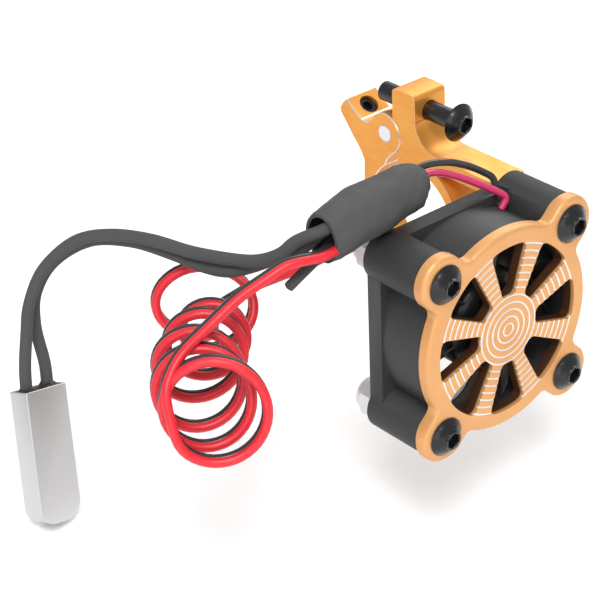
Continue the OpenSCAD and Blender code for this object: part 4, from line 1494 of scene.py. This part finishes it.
# ---- Clamp ----
@dataclass
class Clamp:
    """Two jaws with bare chamfers, and their pin and set screw."""

    half_w: float = 3.0
    chamfer: float = 0.36
    tab_round: float = 0.75
    tab_top: float = 20.3

    def on_tab(self, a: Vector, b: Vector) -> bool:
        """Whether an edge runs across the top of the front jaw's upright tab."""
        return all(abs(p.z - self.tab_top) < 0.02 for p in (a, b)) and abs(a.y - b.y) < 0.02

    def on_side(self, a: Vector, b: Vector) -> bool:
        """Whether an edge lies on one of the jaw's two flat sides."""
        return all(abs(abs(p.x) - self.half_w) < 0.01 for p in (a, b))

    def build(self) -> None:
        """Makes both jaws and dresses the small parts."""
        for node, name, body in (("front_jaw", "jaw_front", Body.FRAME),
                                 ("rear_jaw", "jaw_rear", Body.REAR_CLAMP)):
            jaw = copy_node(node, name, 0.5)
            jaw.data.materials.clear()
            for finish in (PAINT.gold, PAINT.chamfer):
                jaw.data.materials.append(finish.build())
            if node == "front_jaw":
                soften(jaw, self.tab_round, 40, 4, -1, self.on_tab)
            soften(jaw, self.chamfer, 25, 1, 1, self.on_side)
            finish_piece(jaw, (PAINT.gold, PAINT.chamfer), body, (node,), 24)
        dress_node("hinge_pin", PAINT.bright)
        dress_node("set_screw", PAINT.black_steel)


# ---- Switch ----
@dataclass
class Switch:
    """Thermal switch in a folded metal case with a potted mouth."""

    at: Triple = (-57.3, 21.2, -15)
    tilt: Triple = (-17, 13, 6.6)
    wide: float = 7.5
    deep: float = 3.8
    inside: float = 0.31
    floor: float = -2.45
    leads: tuple[float, float] = (-2.1, 1.9)

    def place(self) -> Matrix:
        """Where the switch hangs: turned about X, then Y, then Z, and moved."""
        turn = Matrix.Identity(4)
        for angle, axis in zip(self.tilt, "XYZ"):
            turn = Matrix.Rotation(math.radians(angle), 4, axis) @ turn
        return Matrix.Translation(self.at) @ turn

    def potting(self) -> Shape:
        """Cast resin that fills the mouth and climbs a little up the two leads.

        Returns:
            The shape, with the case's mouth at Z = 0.
        """
        wide, deep = self.wide / 2 - self.inside, self.deep / 2 - self.inside
        columns, rows = 48, 22

        def top(x: float, y: float) -> float:
            """Height of the resin at a point of the mouth."""
            climb = max(math.exp(-(math.hypot(x - at, y - 0.1) / 1.15) ** 4) for at in self.leads)
            rough = noise.noise(Vector((x * 1.3, y * 1.3, 2))) * 0.45
            edge = min(1.0, (wide - abs(x)) * 1.6, (deep - abs(y)) * 1.6)
            return -0.35 + (climb * 0.75 + rough + 0.25) * max(edge, 0)

        grid = [[(wide * (2 * i / columns - 1), deep * (2 * j / rows - 1)) for j in range(rows + 1)]
                for i in range(columns + 1)]
        return slab([[[Vector((x, y, height(x, y))) for x, y in row] for row in grid]
                     for height in (top, lambda x, y: self.floor)])

    def build(self) -> None:
        """Makes the case and the potting and dresses what is inside."""
        case = copy_node("switch_case", "switch_shell")
        soften(case, 0.28, 40, 3)
        finish_piece(case, (PAINT.tinned,), Body.FRAME, ("switch_case",), 40)
        potting = self.potting().moved(self.place())
        make_piece("potting", potting, (PAINT.potting,), Body.FRAME, ("switch_resin",), 60)
        for node, finish in (("switch_liner", PAINT.liner),
                             ("fixed_terminal", PAINT.brass), ("arm_terminal", PAINT.brass),
                             ("bimetal_arm", PAINT.bimetal)):
            dress_node(node, finish)


# ---- Plug ----
@dataclass
class Plug:
    """Two-pole plug housing with its contacts."""

    edge: float = 0.25

    def build(self) -> None:
        """Makes the housing and dresses the contacts."""
        housing = copy_node("power_plug", "plug_housing")
        soften(housing, self.edge, 50, 2)
        finish_piece(housing, (PAINT.plug,), Body.FRAME, ("power_plug",), 35)
        for node in ("plug_contact_left", "plug_contact_right"):
            dress_node(node, PAINT.brass)


# ---- Studio ----
@dataclass(frozen=True)
class Lamp:
    """A soft square light that faces the object: place and side in metres, power in watts."""

    name: str
    at: Triple
    side: float
    power: float

    def build(self, target: Vector) -> None:
        """Hangs the lamp.

        Args:
            target: The point that it faces.
        """
        data = bpy.data.lights.new(self.name, "AREA")
        data.size = self.side
        data.energy = self.power
        lamp = bpy.data.objects.new(self.name, data)
        turn = (target - Vector(self.at)).to_track_quat("-Z", "Y")
        lamp.matrix_world = Matrix.Translation(self.at) @ turn.to_matrix().to_4x4()
        bpy.context.scene.collection.objects.link(lamp)


@dataclass
class Studio:
    """Camera, floor and lights."""

    eye: Triple = (-185.94, -197.18, 144.69)
    right: Triple = (0.7596, -0.6492, -0.0385)
    up: Triple = (0.3544, 0.3636, 0.8615)
    back: Triple = (-0.5453, -0.6681, 0.5063)
    lens: float = 123.24
    sky: float = 0.58
    middle: Triple = (-0.025, -0.01, 0.0)
    lamps: tuple[Lamp, ...] = (Lamp("key", (-0.35, -0.4, 0.75), 0.4, 6.0),
                               Lamp("front", (-0.6, -0.45, 0.15), 0.5, 1.2),
                               Lamp("rim", (0.5, 0.25, 0.5), 0.5, 2.5))

    def camera(self) -> None:
        """Sets the camera."""
        data = bpy.data.cameras.new("view")
        data.lens = self.lens
        data.sensor_width = 36
        data.clip_start = 0.01
        view = bpy.data.objects.new("view", data)
        turn = Matrix((self.right, self.up, self.back)).transposed()
        view.matrix_world = Matrix.Translation(Vector(self.eye) * MM) @ turn.to_4x4()
        bpy.context.scene.collection.objects.link(view)
        bpy.context.scene.camera = view

    def build(self, low: Vector) -> None:
        """Sets floor, world and lights.

        Args:
            low: The object's lowest corner.
        """
        world = bpy.data.worlds.new("studio")
        world.use_nodes = True
        sky = world.node_tree.nodes["Background"]
        sky.inputs["Color"].default_value = (1, 1, 1, 1)
        sky.inputs["Strength"].default_value = self.sky
        bpy.context.scene.world = world
        bpy.context.scene.view_settings.view_transform = "Standard"
        reach = 3000
        floor = Shape([Vector((x * reach, y * reach, low.z / MM - 0.05))
                       for x, y in ((-1, -1), (1, -1), (1, 1), (-1, 1))], [(0, 1, 2, 3)], [0])
        ground = place_object("floor", mesh_of(floor, "floor"))
        paint = Graph("floor_white")
        paint.set(Base_Color=(0.97, 0.97, 0.97), Roughness=0.9)
        ground.data.materials.append(paint.material)
        ground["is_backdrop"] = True
        for lamp in self.lamps:
            lamp.build(Vector(self.middle))


def corners(box: tuple[Vector, Vector]) -> list[list[float]]:
    """A box's two corners as plain lists."""
    return [list(box[0]), list(box[1])]


def main() -> None:
    """Builds every sub-assembly in order."""
    logging.basicConfig(level=logging.INFO, format="%(message)s")
    cad_box = corners(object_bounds())
    studio = Studio()
    studio.camera()
    Plug().build()
    Leads().build()
    Sleeve().build()
    Fan().build()
    Guard().build()
    Fastener().build()
    Clamp().build()
    Switch().build()
    studio.build(Vector(cad_box[0]))


if __name__ == "__main__":
    main()
